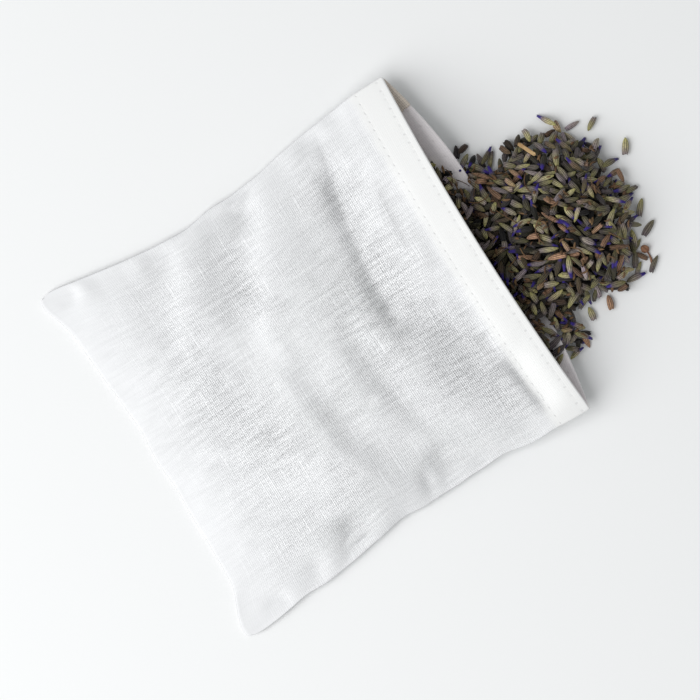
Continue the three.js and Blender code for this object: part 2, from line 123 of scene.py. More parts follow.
@dataclass(frozen=True)
class Patches:
    """Smooth random patches: values on a square lattice, blended between its points.

    The fields are the greatest value, the lattice spacing and the number of the lattice.
    """

    size: float
    cell: float
    seed: int

    def at(self, x: np.ndarray, y: np.ndarray) -> np.ndarray:
        """Values of the patches.

        Args:
            x: First coordinate, in the unit of the spacing.
            y: Second coordinate, in the same unit.

        Returns:
            Values from -size to size, shaped as x and y together.
        """
        lattice = np.random.default_rng(SEED + self.seed).uniform(-1, 1, (LATTICE, LATTICE))
        i = np.floor(x / self.cell).astype(int)
        j = np.floor(y / self.cell).astype(int)
        s = smoothstep(x / self.cell - i, 0, 1)
        t = smoothstep(y / self.cell - j, 0, 1)
        i, next_i = i % LATTICE, (i + 1) % LATTICE
        j, next_j = j % LATTICE, (j + 1) % LATTICE
        low = mix(lattice[i, j], lattice[next_i, j], s)
        high = mix(lattice[i, next_j], lattice[next_i, next_j], s)
        return self.size * mix(low, high, t)


def unit(vectors: np.ndarray) -> np.ndarray:
    """Vectors at length 1."""
    return vectors / np.maximum(np.linalg.norm(vectors, axis=-1, keepdims=True), 1e-9)


# Meshes

@dataclass
class Surface:
    """Points in millimetres, faces, flat coordinates and named values of the points."""

    points: np.ndarray
    faces: list[np.ndarray]
    flat: np.ndarray
    values: dict[str, np.ndarray] = field(default_factory=dict)


def grid_faces(rows: int, columns: int) -> np.ndarray:
    """Quads of a grid whose points run along the columns first, counter-clockwise seen from above."""
    j, i = np.meshgrid(np.arange(rows - 1), np.arange(columns - 1), indexing="ij")
    a = (j * columns + i).ravel()
    return np.stack([a, a + 1, a + columns + 1, a + columns], 1)


def shell(upper: np.ndarray, lower: np.ndarray, flat: np.ndarray, rim: int = 3,
          bulge: float = 1.0) -> Surface:
    """A closed sheet between two grids, with rounded edges.

    Each ring of the edge is the middle of the two grids' borders, plus half the thickness times the cosine
    of an angle from 0 to 180 degrees, plus a share of the same outwards times its sine.

    Args:
        upper: Points of the upper face, rows by columns by 3.
        lower: Points of the lower face, shaped as upper.
        flat: Flat coordinates of the points, rows by columns by 2.
        rim: Rings between the two borders.
        bulge: How far the edges swell, from 0 for a flat edge to 1 for a half-round one.

    Returns:
        The surface, whose value "underside" is 0 on the upper face and 1 on the lower.
    """
    rows, columns = upper.shape[:2]
    count = rows * columns
    j = np.concatenate([np.zeros(columns, int), np.arange(1, rows), np.full(columns - 1, rows - 1),
                        np.arange(rows - 2, 0, -1)])
    i = np.concatenate([np.arange(columns), np.full(rows - 1, columns - 1), np.arange(columns - 2, -1, -1),
                        np.zeros(rows - 2, int)])
    inside = upper[np.clip(j, 1, rows - 2), np.clip(i, 1, columns - 2)]
    top, bottom = upper[j, i], lower[j, i]
    outwards = unit((top - inside) * np.array([1, 1, 0])) * np.linalg.norm(top - bottom, axis=1)[:, None] / 2
    angles = math.pi * np.arange(1, rim + 1)[:, None, None] / (rim + 1)
    rings = (top + bottom) / 2 + np.cos(angles) * (top - bottom) / 2 + bulge * np.sin(angles) * outwards
    points = np.concatenate([upper.reshape(-1, 3), lower.reshape(-1, 3), rings.reshape(-1, 3)])
    border = j * columns + i
    loops = np.stack([border, *(2 * count + len(border) * k + np.arange(len(border)) for k in range(rim)),
                      count + border])
    here, there = loops[:-1], loops[1:]
    edge = np.stack([here, there, np.roll(there, -1, 1), np.roll(here, -1, 1)], -1).reshape(-1, 4)
    faces = grid_faces(rows, columns)
    share = np.repeat(np.arange(1, rim + 1) / (rim + 1), len(border))
    return Surface(
        points, [faces, faces[:, ::-1] + count, edge],
        np.concatenate([flat.reshape(-1, 2)] * 2 + [np.tile(flat[j, i], (rim, 1))]),
        {"underside": np.concatenate([np.zeros(count), np.ones(count), share])},
    )


def ring_faces(rings: int, sides: int, many: int = 1, clockwise: bool = False) -> list[np.ndarray]:
    """Faces of closed forms that are stacks of rings, all with the same number of points.

    Args:
        rings: Rings in a stack.
        sides: Points in a ring.
        many: Number of stacks, one after another.
        clockwise: Whether the points of a ring run clockwise, seen against the stack's direction.

    Returns:
        The walls as quads, the caps of the first rings and the caps of the last ones.
    """
    start = (np.arange(many) * rings * sides)[:, None, None]
    ring = np.arange(rings - 1)[:, None] * sides
    k = np.arange(sides)
    a = start + ring + k
    b = start + ring + (k + 1) % sides
    walls = np.stack([a, b, b + sides, a + sides], -1).reshape(-1, 4)
    first = start[:, 0] + k[::-1]
    last = start[:, 0] + (rings - 1) * sides + k
    if clockwise:
        return [walls[:, [0, 3, 2, 1]], first[:, ::-1], last[:, ::-1]]
    return [walls, first, last]


def tubes(paths: np.ndarray, radii: np.ndarray, sides: int = 6) -> Surface:
    """Round tubes along many paths at once, each closed at its two ends.

    Around each point of a path lies a ring of points, in the plane across the path, at the radius given.

    Args:
        paths: Points of the paths, tubes by steps by 3.
        radii: Radii at those points, tubes by steps.
        sides: Points in a ring.

    Returns:
        The surface, with the share along and around each tube as flat coordinates.
    """
    many, steps = paths.shape[:2]
    ahead = unit(np.gradient(paths, axis=1))
    almost_up = np.array([0.02, 0.03, 1.0])
    side = unit(np.cross(ahead, almost_up))
    up = np.cross(side, ahead)
    angle = 2 * math.pi * np.arange(sides) / sides
    turn = np.cos(angle)[:, None] * side[:, :, None] + np.sin(angle)[:, None] * up[:, :, None]
    points = paths[:, :, None] + radii[:, :, None, None] * turn
    along = np.broadcast_to(np.linspace(0, 1, steps)[:, None], (many, steps, sides))
    around = np.broadcast_to(np.arange(sides) / sides, (many, steps, sides))
    flat = np.stack([along.ravel(), around.ravel()], 1)
    return Surface(points.reshape(-1, 3), ring_faces(steps, sides, many, clockwise=True), flat)


def make_piece(name: str, surface: Surface, material: bpy.types.Material) -> bpy.types.Object:
    """A smooth mesh object at the origin.

    Args:
        name: The piece's name.
        surface: Its shape.
        material: Its finish.

    Returns:
        The object, linked to the scene.
    """
    mesh = bpy.data.meshes.new(name)
    faces = [face for block in surface.faces for face in block.tolist()]
    mesh.from_pydata((surface.points * MM).tolist(), [], faces)
    mesh.polygons.foreach_set("use_smooth", np.ones(len(mesh.polygons), bool))
    corners = np.empty(len(mesh.loops), np.int32)
    mesh.loops.foreach_get("vertex_index", corners)
    layer = mesh.uv_layers.new(name="flat")
    layer.uv.foreach_set("vector", surface.flat[corners].astype(np.float32).ravel())
    for key, value in surface.values.items():
        mesh.attributes.new(key, "FLOAT", "POINT").data.foreach_set("value", value.astype(np.float32))
    mesh.materials.append(material)
    mesh.update()
    piece = bpy.data.objects.new(name, mesh)
    bpy.context.scene.collection.objects.link(piece)
    return piece


def dress(piece: bpy.types.Object, slot: Slot, *nodes: str) -> bpy.types.Object:
    """Hides the nodes that a piece stands for, and reports it.

    Args:
        piece: The finished piece.
        slot: The record's slot; not used.
        nodes: The nodes it stands for.

    Returns:
        The same piece.
    """
    if nodes:
        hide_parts(*nodes)
    stands_for = ", ".join(nodes) or "no node"
    log.info("%s: %d faces, stands for %s", piece.name, len(piece.data.polygons), stands_for)
    return piece


def seat(piece: bpy.types.Object, body: Body, slot: Slot, *nodes: str) -> bpy.types.Object:
    """Lets a piece ride on one body, and dresses it."""
    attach(piece, body.value)
    return dress(piece, slot, *nodes)


# Finishes

class Graph:
    """A material's nodes, with short ways to add and link them."""

    def __init__(self, name: str) -> None:
        """Starts a material with one shader.

        Args:
            name: The material's name.
        """
        self.material = bpy.data.materials.new(name)
        self.material.use_nodes = True
        self.tree = self.material.node_tree
        self.shader = self.tree.nodes["Principled BSDF"]

    def put(self, socket: bpy.types.NodeSocket, value: object) -> None:
        """Links a socket to another, or sets its number or colour.

        Args:
            socket: The input.
            value: Another node's output, a number or a colour.
        """
        if isinstance(value, bpy.types.NodeSocket):
            self.tree.links.new(value, socket)
        else:
            socket.default_value = value

    def node(self, kind: str, *inputs: object, **settings: object) -> bpy.types.Node:
        """Adds a node.

        Args:
            kind: The node's type, without its common prefix.
            inputs: Values or sockets for its first inputs; None leaves one as it is.
            settings: Its own settings.

        Returns:
            The node.
        """
        made = self.tree.nodes.new("ShaderNode" + kind)
        for key, value in settings.items():
            setattr(made, key, value)
        for socket, value in zip(made.inputs, inputs):
            if value is not None:
                self.put(socket, value)
        return made

    def math(self, operation: str, *inputs: object) -> bpy.types.NodeSocket:
        """The result of a sum on numbers."""
        return self.node("Math", *inputs, operation=operation).outputs[0]

    def blend(self, share: object, a: object, b: object, how: str = "MIX") -> bpy.types.NodeSocket:
        """A mix of two colours.

        Args:
            share: How much of b it takes.
            a: First colour.
            b: Second colour.
            how: The way of mixing.

        Returns:
            The colour.
        """
        made = self.node("Mix", data_type="RGBA", blend_type=how)
        for index, value in ((0, share), (6, a), (7, b)):
            self.put(made.inputs[index], value)
        return made.outputs[2]

    def spread(self, value: object, low: float, high: float, out_low: float = 0.0,
               out_high: float = 1.0) -> bpy.types.NodeSocket:
        """A number taken smoothly from one span to another, and held at its ends."""
        made = self.node("MapRange", value, low, high, out_low, out_high, interpolation_type="SMOOTHSTEP")
        return made.outputs[0]

    def value(self, name: str) -> bpy.types.NodeSocket:
        """A named value of the mesh."""
        return self.node("Attribute", attribute_name=name).outputs["Fac"]

    def noise(self, place: object, size: tuple[float, float, float],
              detail: float = 2.0) -> bpy.types.NodeSocket:
        """Soft noise about 0.5.

        Args:
            place: The coordinates on which it lies.
            size: Its size in each direction, in the unit of the coordinates.
            detail: How many finer layers it has.

        Returns:
            The noise.
        """
        scaled = self.node("VectorMath", place, tuple(1 / s for s in size), operation="MULTIPLY").outputs[0]
        made = self.node("TexNoise", scaled)
        self.put(made.inputs["Scale"], 1.0)
        self.put(made.inputs["Detail"], detail)
        return made.outputs[0]

    def bump(self, height: object, depth: float) -> bpy.types.NodeSocket:
        """Fine relief.

        Args:
            height: Its height.
            depth: How many metres a height of 1 is.

        Returns:
            The normal.
        """
        made = self.node("Bump")
        self.put(made.inputs["Strength"], 1.0)
        self.put(made.inputs["Distance"], depth)
        self.put(made.inputs["Height"], height)
        return made.outputs[0]

    def finish(self, colour: object, roughness: float, normal: object = None,
               sheen: float = 0.0) -> bpy.types.Material:
        """Sets the shader.

        Args:
            colour: Its colour.
            roughness: Its roughness.
            normal: Its fine relief, if it has one.
            sheen: Its soft shine along edges.

        Returns:
            The material.
        """
        self.put(self.shader.inputs["Base Color"], colour)
        self.put(self.shader.inputs["Roughness"], roughness)
        self.put(self.shader.inputs["Specular IOR Level"], 0.25)
        self.put(self.shader.inputs["Sheen Weight"], sheen)
        if normal is not None:
            self.put(self.shader.inputs["Normal"], normal)
        return self.material


@dataclass(frozen=True)
class MuslinFinish:
    """Plain-weave cotton with uneven yarns, grey where one layer lets the fill show, whiter in the hem."""

    name: str
    single: Colour
    layered: Colour
    inner: Colour
    yarn: float = 0.52
    grain: float = 0.85
    streak: float = 0.22
    blotch: float = 0.16
    weave: float = 0.40
    slub: float = 0.13
    # Strength of the painted shade in the needle holes.
    hole: float = 0.15
    # Strength of the painted shade in the crease where the two cloths meet at the sewn edges.
    crease_shade: float = 0.42
    weft_share: float = 0.65
    hem_calm: float = 0.75
    wander_size: Pair = (4.0, 4.0)
    lengthwise_size: Pair = (0.45, 7.0)
    crosswise_size: Pair = (18.0, 0.6)
    grain_size: Pair = (0.42, 0.40)
    slub_size: Pair = (15.0, 0.36)
    fill_size: Pair = (1.1, 8.0)

    def material(self) -> bpy.types.Material:
        """Builds the weave on the flat coordinates, which are metres on the cut cloth.

        Returns:
            The material.
        """
        g = Graph(self.name)
        flat = g.node("UVMap", uv_map="flat").outputs[0]
        hem = g.value("hem")
        inner = g.value("inner")

        def cloth_noise(size: Pair, detail: float = 2.0) -> bpy.types.NodeSocket:
            """Noise of a size across and along the cloth, in millimetres."""
            return g.noise(flat, (size[0] * MM, size[1] * MM, 1), detail)

        wander = cloth_noise(self.wander_size)
        place = g.node("SeparateXYZ", flat)
        ribs = []
        for axis in (0, 1):
            phase = g.math("MULTIPLY_ADD", place.outputs[axis], math.pi / (self.yarn * MM), wander)
            ribs.append(g.math("ABSOLUTE", g.math("SINE", phase)))
        warp, weft = ribs
        warps = g.math("MULTIPLY", warp, 1 - self.weft_share)
        yarns = g.math("MULTIPLY_ADD", weft, self.weft_share, warps)
        lengthwise = cloth_noise(self.lengthwise_size)
        crosswise = cloth_noise(self.crosswise_size)
        grain = cloth_noise(self.grain_size)
        slubs = g.spread(cloth_noise(self.slub_size, detail=0.0), 0.64, 0.76)
        fill = g.spread(cloth_noise(self.fill_size), 0.34, 0.70)

        weft_streaks = g.math("MULTIPLY", g.math("SUBTRACT", crosswise, 0.5), 0.45)
        streaks = g.math("ADD", g.math("SUBTRACT", lengthwise, 0.5), weft_streaks)
        thin_layer = g.math("MULTIPLY_ADD", hem, -self.hem_calm, 1.0)
        # The value show sets the weave's contrast, in part as painted light: faint where the cloth faces the
        # light, stronger in shade.
        shown = g.math("ADD", g.value("show"), 1.0)
        calm = g.math("MULTIPLY", thin_layer, shown)
        uneven = g.math("MULTIPLY_ADD", streaks, self.streak, g.math("MULTIPLY", slubs, self.slub))
        uneven = g.math("MULTIPLY", uneven, g.math("MULTIPLY", thin_layer, g.math("MINIMUM", shown, 1.0)))
        crossings = g.math("MULTIPLY", g.math("SUBTRACT", yarns, 0.64), self.weave)
        crossings = g.math("MULTIPLY_ADD", g.math("SUBTRACT", grain, 0.5), self.grain, crossings)
        shade = g.math("MULTIPLY_ADD", crossings, calm, g.math("ADD", uneven, 1.0))
        seen = g.math("MULTIPLY", g.value("contact"), g.math("MULTIPLY_ADD", fill, 0.8, 0.6))
        shade = g.math("MULTIPLY_ADD", seen, -self.blotch, shade)
        # Painted shade: the needle holes are darkened in colour, besides their dent in the relief.
        shade = g.math("MULTIPLY_ADD", g.value("hole"), -self.hole, shade)
        # Painted shade: the crease at the panels' rims is darkened in colour.
        shade = g.math("MULTIPLY_ADD", g.value("crease_shade"), -self.crease_shade, shade)

        colour = g.blend(hem, self.single, self.layered)
        colour = g.blend(inner, colour, self.inner)
        grey = g.node("CombineColor", shade, shade, shade).outputs[0]
        colour = g.blend(1.0, colour, grey, "MULTIPLY")
        relief = g.math("MULTIPLY_ADD", grain, 0.8, yarns)
        relief = g.math("MULTIPLY_ADD", slubs, 0.6, relief)
        relief = g.math("MULTIPLY_ADD", g.value("hole"), -1.5, g.math("MULTIPLY", relief, calm))
        return g.finish(colour, roughness=0.95, normal=g.bump(relief, 0.06 * MM), sheen=0.15)


@dataclass(frozen=True)
class ThreadFinish:
    """White sewing thread with its twist."""

    name: str
    colour: Colour
    shaded: Colour
    twist: float = 40.0

    def material(self) -> bpy.types.Material:
        """Builds slanting stripes on the coordinates along and around the thread."""
        g = Graph(self.name)
        place = g.node("SeparateXYZ", g.node("UVMap", uv_map="flat").outputs[0])
        turn = g.math("MULTIPLY", place.outputs[1], 2 * math.pi)
        phase = g.math("MULTIPLY_ADD", place.outputs[0], self.twist, turn)
        ply = g.spread(g.math("SINE", phase), -1, 1)
        colour = g.blend(ply, self.shaded, self.colour)
        return g.finish(colour, roughness=0.8, normal=g.bump(ply, 0.05 * MM), sheen=0.2)


@dataclass(frozen=True)
class BudFinish:
    """Dried calyxes: olive at the pointed base, grey-mauve at the open end, some brown, some with petals."""

    name: str
    base: Colour = (0.160, 0.150, 0.056, 1)
    middle: Colour = (0.136, 0.123, 0.066, 1)
    open_end: Colour = (0.096, 0.079, 0.075, 1)
    brown: Colour = (0.118, 0.068, 0.041, 1)
    mauve: Colour = (0.105, 0.085, 0.100, 1)
    petal: Colour = (0.034, 0.017, 0.210, 1)
    ribs: int = 9
    brightness: float = 3.3

    def material(self) -> bpy.types.Material:
        """Builds the colour along the bud, ribbed lengthwise, from the buds' own values."""
        g = Graph(self.name)
        flat = g.node("UVMap", uv_map="flat").outputs[0]
        place = g.node("SeparateXYZ", flat)
        along, around = place.outputs[0], place.outputs[1]
        spot = g.node("TexCoord").outputs["Object"]
        mottle = g.noise(spot, (0.5 * MM, 0.5 * MM, 0.5 * MM))
        colour = g.blend(g.spread(along, 0.05, 0.4), self.base, self.middle)
        colour = g.blend(g.spread(along, 0.4, 0.95), colour, self.open_end)
        hue = g.value("hue")
        colour = g.blend(g.spread(hue, 0.70, 0.95), colour, self.brown)
        colour = g.blend(g.spread(hue, 0.30, 0.05, 0.0, 0.8), colour, self.mauve)
        rib = g.spread(g.math("SINE", g.math("MULTIPLY", around, 2 * math.pi * self.ribs)), -1, 1)
        tone = g.math("MULTIPLY", g.value("tone"), self.brightness)
        tone = g.math("MULTIPLY", tone, g.math("MULTIPLY_ADD", rib, 0.9, 0.5))
        tone = g.math("MULTIPLY", tone, g.math("MULTIPLY_ADD", mottle, 1.5, 0.3))
        colour = g.blend(1.0, colour, g.node("CombineColor", tone, tone, tone).outputs[0], "MULTIPLY")
        lit = g.math("MULTIPLY_ADD", mottle, 1.2, 0.4)
        petal = g.blend(1.0, self.petal, g.node("CombineColor", lit, lit, lit).outputs[0], "MULTIPLY")
        colour = g.blend(g.value("petal"), colour, petal)
        relief = g.math("MULTIPLY_ADD", mottle, 0.8, rib)
        return g.finish(colour, roughness=0.55, normal=g.bump(relief, 0.09 * MM), sheen=0.1)


@dataclass(frozen=True)
class StemFinish:
    """Dry stems and stalks with fine lengthwise fibres."""

    name: str
    light: Colour
    dark: Colour

    def material(self) -> bpy.types.Material:
        """Builds fibres along the stem and a change of tone from stem to stem."""
        g = Graph(self.name)
        flat = g.node("UVMap", uv_map="flat").outputs[0]
        fibre = g.noise(flat, (0.9, 0.12, 1))
        spot = g.noise(g.node("TexCoord").outputs["Object"], (2.5 * MM, 2.5 * MM, 2.5 * MM))
        share = g.math("MULTIPLY_ADD", spot, 1.4, g.math("MULTIPLY_ADD", fibre, 0.8, -0.6))
        colour = g.blend(g.spread(share, 0.0, 1.0), self.dark, self.light)
        return g.finish(colour, roughness=0.8, normal=g.bump(fibre, 0.05 * MM))


@dataclass(frozen=True)
class FloorFinish:
    """Smooth white table top."""

    colour: Colour = (0.888, 0.898, 0.90, 1)

    def material(self) -> bpy.types.Material:
        """Builds the plain matt white."""
        return Graph("table_white").finish(self.colour, roughness=0.9)


# Bag

@dataclass(frozen=True)
class Fold:
    """A soft fold of the front cloth along a line, in the plan's x and y.

    It is a bank of Gaussian section, of one width on each side of the line, that dies out at its ends.
    """

    line: tuple[tuple[float, float], ...]
    height: float
    base_side: float
    mouth_side: float
    fade: float = 0.35
    steps: int = 101
    smoothing: int = 10

    def rise(self, x: np.ndarray, y: np.ndarray) -> np.ndarray:
        """Height of the fold at plan points.

        Args:
            x: First coordinate.
            y: Second coordinate.

        Returns:
            Heights shaped as x.
        """
        knots = np.array(self.line)
        share = np.linspace(0, 1, self.steps)
        stops = np.linspace(0, 1, len(knots))
        span = 2 * self.smoothing + 1
        kernel = np.ones(span) / span
        paths = (np.pad(np.interp(share, stops, knot), self.smoothing, mode="edge") for knot in knots.T)
        line_x, line_y = (np.convolve(path, kernel, "valid") for path in paths)
        reach = (x[..., None] - line_x) ** 2 + (y[..., None] - line_y) ** 2
        nearest = reach.argmin(-1)
        away = np.sqrt(np.take_along_axis(reach, nearest[..., None], -1)[..., 0])
        width = np.where(y > line_y[nearest], self.mouth_side, self.base_side)
        along = share[nearest]
        fade = smoothstep(along, 0, self.fade) * (1 - smoothstep(along, 1 - self.fade, 1))
        return self.height * fade * np.exp(-(away / width) ** 2)


@dataclass(frozen=True)
class Spot:
    """A place in the plan where the fill lies close under the front cloth and shows through it."""

    x: float
    y: float
    half_x: float
    half_y: float
    share: float

    def press(self, x: np.ndarray, y: np.ndarray) -> np.ndarray:
        """Share at plan points, which fades out softly over the two half widths."""
        across, along = (x - self.x) / self.half_x, (y - self.y) / self.half_y
        return self.share * np.exp(-across ** 2 - along ** 2)


@dataclass
class BagShape:
    """The filled bag as it lies: outline, heights and folds, like the solids but lower and softer."""

    length: float = 105.0
    base_width: float = 104.0
    mouth_width: float = 102.0
    base_shift: float = 1.2
    mouth_shift: float = -1.4
    left_draw: float = 5.0
    left_draw_share: float = 0.35
    right_draw: float = 3.2
    right_draw_share: float = 0.55
    draw_sharpness: float = 4.6
    base_draw: float = 2.0
    front_lip_bow: float = -2.5
    back_lip_bow: float = 5.0
    lip_height: float = 17.5
    wedge_power: float = 0.85
    side_fullness: float = 2.8
    mouth_fullness: float = 2.1
    edge_lift: float = 0.9
    base_lift: float = 0.2
    corner_lift: float = 4.0
    flat_share: float = 0.7
    base_rise_share: float = 0.16
    mouth_share: float = 0.6
    cloth: float = 0.4
    hem_stack: float = 1.2
    hem_depth: float = 9.5
    hem_ramp: float = 8.0
    seam_gap: float = 0.1
    edge_row: float = 1.8
    fold_row: float = 8.3
    stitch_pitch: float = 2.6
    bend_to_mouth: float = 28.0
    sewn_margin: float = 1.4
    bend_ramp: float = 6.0
    lip_margin: float = 4.0
    cloth_gap: float = 0.05
    edge_room: float = 0.9
    edge_reach: float = 7.5
    edge_height: float = 1.2
    soft_stop: float = 0.2
    hem_step: float = 0.2
    furrow_depth: float = 0.03
    furrow_width: float = 0.6
    press_mean: float = 0.62
    press_by_relief: float = 0.2
    ripples: Patches = Patches(0.8, 8, 1)
    sags: Patches = Patches(0.6, 9, 2)
    lumps: tuple[Patches, ...] = (Patches(0.30, 8.5, 3), Patches(0.13, 3.6, 4))
    puckers: Patches = Patches(0.9, 5.5, 5)
    pucker_start: float = 1.2
    pucker_reach: float = 6.0
    gathers: Patches = Patches(0.5, 6.5, 6)
    gather_start: float = 1.5
    gather_reach: float = 7.0
    press_patches: tuple[Patches, ...] = (Patches(0.30, 12, 8), Patches(0.12, 5, 9))
    corner_round: float = 1.5
    corner_pull: float = 3.1
    corner_spread: float = 1.5
    lip_curl: float = 7.0
    curl_start: float = 0.84
    curl_left: float = 0.1
    curl_right: float = 0.3
    curl_ramp: float = 0.45
    folds: tuple[Fold, ...] = (
        Fold(((-44, 28.6), (-29, 26.2), (-10, 23.2), (17, 21.6)), -3.2, 3.5, 8.0, 0.3),
        Fold(((-54, 31.6), (-44, 29.4), (-30, 26.8)), -0.6, 1.5, 6.0, 0.35),
        Fold(((-48, 23), (-18, 19), (14, 16)), -1.9, 9.0, 6.0, 0.45),
        Fold(((-4, 33), (16, 31.5), (42, 34)), -1.8, 9.0, 5.0, 0.5),
        Fold(((22, 41.0), (36, 42.3), (48, 44.2)), -1.5, 2.0, 4.0, 0.35),
        Fold(((0, 38.6), (18, 38.6), (36, 39.6)), -0.75, 2.2, 4.0, 0.5),
        Fold(((-14, 36), (18, 36.0), (46, 38)), -0.6, 6.0, 3.0, 0.5),
        Fold(((-34, 39), (-22, 36.4), (-8, 35)), -0.8, 1.8, 4.0, 0.45),
        Fold(((-14, 8.8), (4, 9.8), (16, 11.6), (30, 15), (44, 19)), -1.5, 4.0, 7.0, 0.4),
        Fold(((34, 14.5), (44, 13), (54, 12)), -1.9, 4.6, 9.0, 0.3),
        Fold(((38, 7.5), (54, 5)), -0.8, 2.0, 2.0),
        Fold(((38, -14.5), (46, -17), (57, -20)), -2.6, 4.2, 6.0, 0.3),
        Fold(((42, -28), (58, -33)), -0.8, 3.0, 3.0),
        Fold(((46, -42), (60, -46)), -1.3, 3.5, 3.0),
        Fold(((-55, 4.5), (-46, 4.2), (-34, 1)), -1.4, 4.5, 4.0),
        Fold(((-56, -47), (-44, -47.5)), -1.2, 3.0, 2.4),
        Fold(((-51, 18), (-46, 14.4), (-37, 6.4), (-23, -3.2), (-10, -8), (12, -15.2), (26, -18)),
             0.8, 4.0, 9.0, 0.4),
        Fold(((-56, 8), (-42, 2), (-26, -7), (-6, -14)), -1.6, 9.0, 4.4, 0.4),
        Fold(((-51, -8), (-46, -12.8), (-37, -19), (-26, -25.6), (-7, -28.8), (10, -30)),
             0.9, 4.0, 9.0, 0.4),
        Fold(((-56, -13), (-44, -19), (-30, -28), (-4, -34)), -1.6, 9.0, 4.4, 0.45),
        Fold(((-10, -11), (8, -11.8), (24, -10), (37, -4.5), (50, 2.5)), 2.4, 14.0, 5.0, 0.35),
    )
    spots: tuple[Spot, ...] = (
        Spot(2, 23, 17, 7, 0.7),
        Spot(30, 39, 13, 6, 1.0),
        Spot(25, 30, 8, 6, 0.6),
        Spot(13, -21, 17, 7, 1.0),
        Spot(27, -10, 10, 6, 0.8),
        Spot(-19, -6, 10, 5, 0.6),
        Spot(-30, -20, 12, 6, 0.3),
        Spot(-9, -28, 14, 6, 0.8),
    )

    @property
    def hem_start(self) -> float:
        """The v at which the hem begins."""
        return 1 - self.hem_depth / self.length

    def half_width(self, v: np.ndarray) -> np.ndarray:
        """Half the straight width, from the base to the mouth."""
        return mix(self.base_width, self.mouth_width, v) / 2

    def hump(self, v: np.ndarray, peak: float) -> np.ndarray:
        """A hump over v that is 0 at both ends and 1 at its peak."""
        along = np.clip(v, 0, 1)
        rise = (along / peak) ** (self.draw_sharpness * peak)
        return rise * ((1 - along) / (1 - peak)) ** (self.draw_sharpness * (1 - peak))

    def plan(self, u: np.ndarray, v: np.ndarray, bow: np.ndarray | float) -> tuple[np.ndarray, np.ndarray]:
        """Where the cloth lies: a trapezium whose sides and base draw in, with small ripples.

        Args:
            u: Across the bag.
            v: Along the bag.
            bow: How far the lip's middle stands beyond its corners.

        Returns:
            The coordinates x and y.
        """
        left = self.left_draw * self.hump(v, self.left_draw_share)
        right = self.right_draw * self.hump(v, self.right_draw_share)
        draw = np.where(u < 0, left, right)
        ripple = self.ripples.at(v * self.length, np.sign(u) * 40.0 + 80) * self.hump(v, 0.5) ** 0.3
        x = mix(self.base_shift, self.mouth_shift, v) + self.half_width(v) * u
        near_base = 1 - np.clip(v, 0, 1)
        rounded = self.corner_round * (np.abs(u) ** 40 * near_base ** 40)
        pulled = smoothstep(np.abs(u), 0.72, 0.94) * near_base ** 9
        inwards = draw * u * u - ripple * np.abs(u) ** 7 + rounded - self.corner_spread * pulled
        x = x - np.sign(u) * inwards
        sag = self.sags.at(u * self.half_width(v), v * 0 + 30.0) * (1 - v) ** 9
        y = self.length * (v - 0.5) + (1 - u * u) * (self.base_draw * (1 - v) ** 2 + bow * v * v)
        return x, y + sag + rounded - self.corner_pull * pulled

    def lift(self, u: np.ndarray, v: np.ndarray) -> np.ndarray:
        """Height of the back cloth's underside: flat, rising to the seams and at the free lip.

        Args:
            u: Across the bag.
            v: Along the bag.

        Returns:
            Heights over the table.
        """
        side = np.maximum(0, (np.abs(u) - self.flat_share) / (1 - self.flat_share)) ** 2
        base = np.maximum(0, 1 - v / self.base_rise_share) ** 2
        height = mix(self.base_lift, self.edge_lift, smoothstep(v, 0, self.base_rise_share))
        height = mix(height, self.corner_lift, smoothstep(v, self.mouth_share, 1))
        curl = self.lip_curl * self.lip_free(u) * smoothstep(v, self.curl_start, 1)
        return height * (side + base - side * base) + curl

    def seam_layer(self, v: np.ndarray) -> np.ndarray:
        """Thickness of one side of the seam, which grows to the turned hem near the mouth."""
        start = self.hem_start - self.hem_ramp / self.length
        return mix(self.cloth, self.hem_stack, smoothstep(v, start, self.hem_start))

    def seam_top(self, v: np.ndarray) -> np.ndarray:
        """Height of the front cloth at the side seams."""
        return self.lift(np.ones_like(v), v) + 2 * self.seam_layer(v) + self.seam_gap

    def crown_rise(self, v: np.ndarray) -> np.ndarray:
        """Height of the crown over the side seams: a wedge that grows to the mouth."""
        return (self.lip_height - self.seam_top(v)) * np.maximum(v, 0) ** self.wedge_power

    def fullness(self, v: np.ndarray) -> np.ndarray:
        """Power of the section across the bag: fuller sides inland, a rounder arch at the mouth."""
        return mix(self.side_fullness, self.mouth_fullness, smoothstep(v, self.mouth_share, 1))

    def smooth_front(self, u: np.ndarray, v: np.ndarray) -> np.ndarray:
        """Height of the front cloth without its folds: a crown with full sides."""
        return self.seam_top(v) + self.crown_rise(v) * (1 - np.abs(u) ** self.fullness(v))

    def raw_outer(self, v: np.ndarray) -> np.ndarray:
        """The u at which the turned-in edges fit between the two cloths."""
        return (1 - self.edge_height / np.maximum(self.crown_rise(v), 1.5)) ** (1 / self.fullness(v))

    def relief(self, x: np.ndarray, y: np.ndarray) -> np.ndarray:
        """Sum of the folds at plan points."""
        return sum(fold.rise(x, y) for fold in self.folds)

    def room(self, u: np.ndarray, v: np.ndarray) -> np.ndarray:
        """Least height of the front cloth: over the back cloth and over the turned-in edges.

        Args:
            u: Across the bag.
            v: Along the bag.

        Returns:
            Heights over the table.
        """
        outer = self.raw_outer(v)
        inner = outer - self.edge_reach / self.half_width(v)
        across = np.abs(u)
        zone = smoothstep(across, inner - 0.03, inner) * (1 - smoothstep(across, outer, outer + 0.02))
        zone = zone * smoothstep(v, 0.07, 0.11)
        layers = self.lift(u, v) + self.seam_layer(v) + self.front_layer(v)
        return layers + self.cloth_gap + self.edge_room * zone

    def press(self, u: np.ndarray, v: np.ndarray) -> np.ndarray:
        """How close the fill lies under the front cloth: close in valleys and at the spots, free on ridges.

        Args:
            u: Across the bag.
            v: Along the bag.

        Returns:
            Shares, about 0.6 on smooth cloth.
        """
        x, y = self.plan(u, v, self.front_lip_bow)
        patches = sum(patch.at(x, y) for patch in self.press_patches)
        spots = sum(spot.press(x, y) for spot in self.spots)
        return self.press_mean - self.press_by_relief * self.relief(x, y) + patches + spots

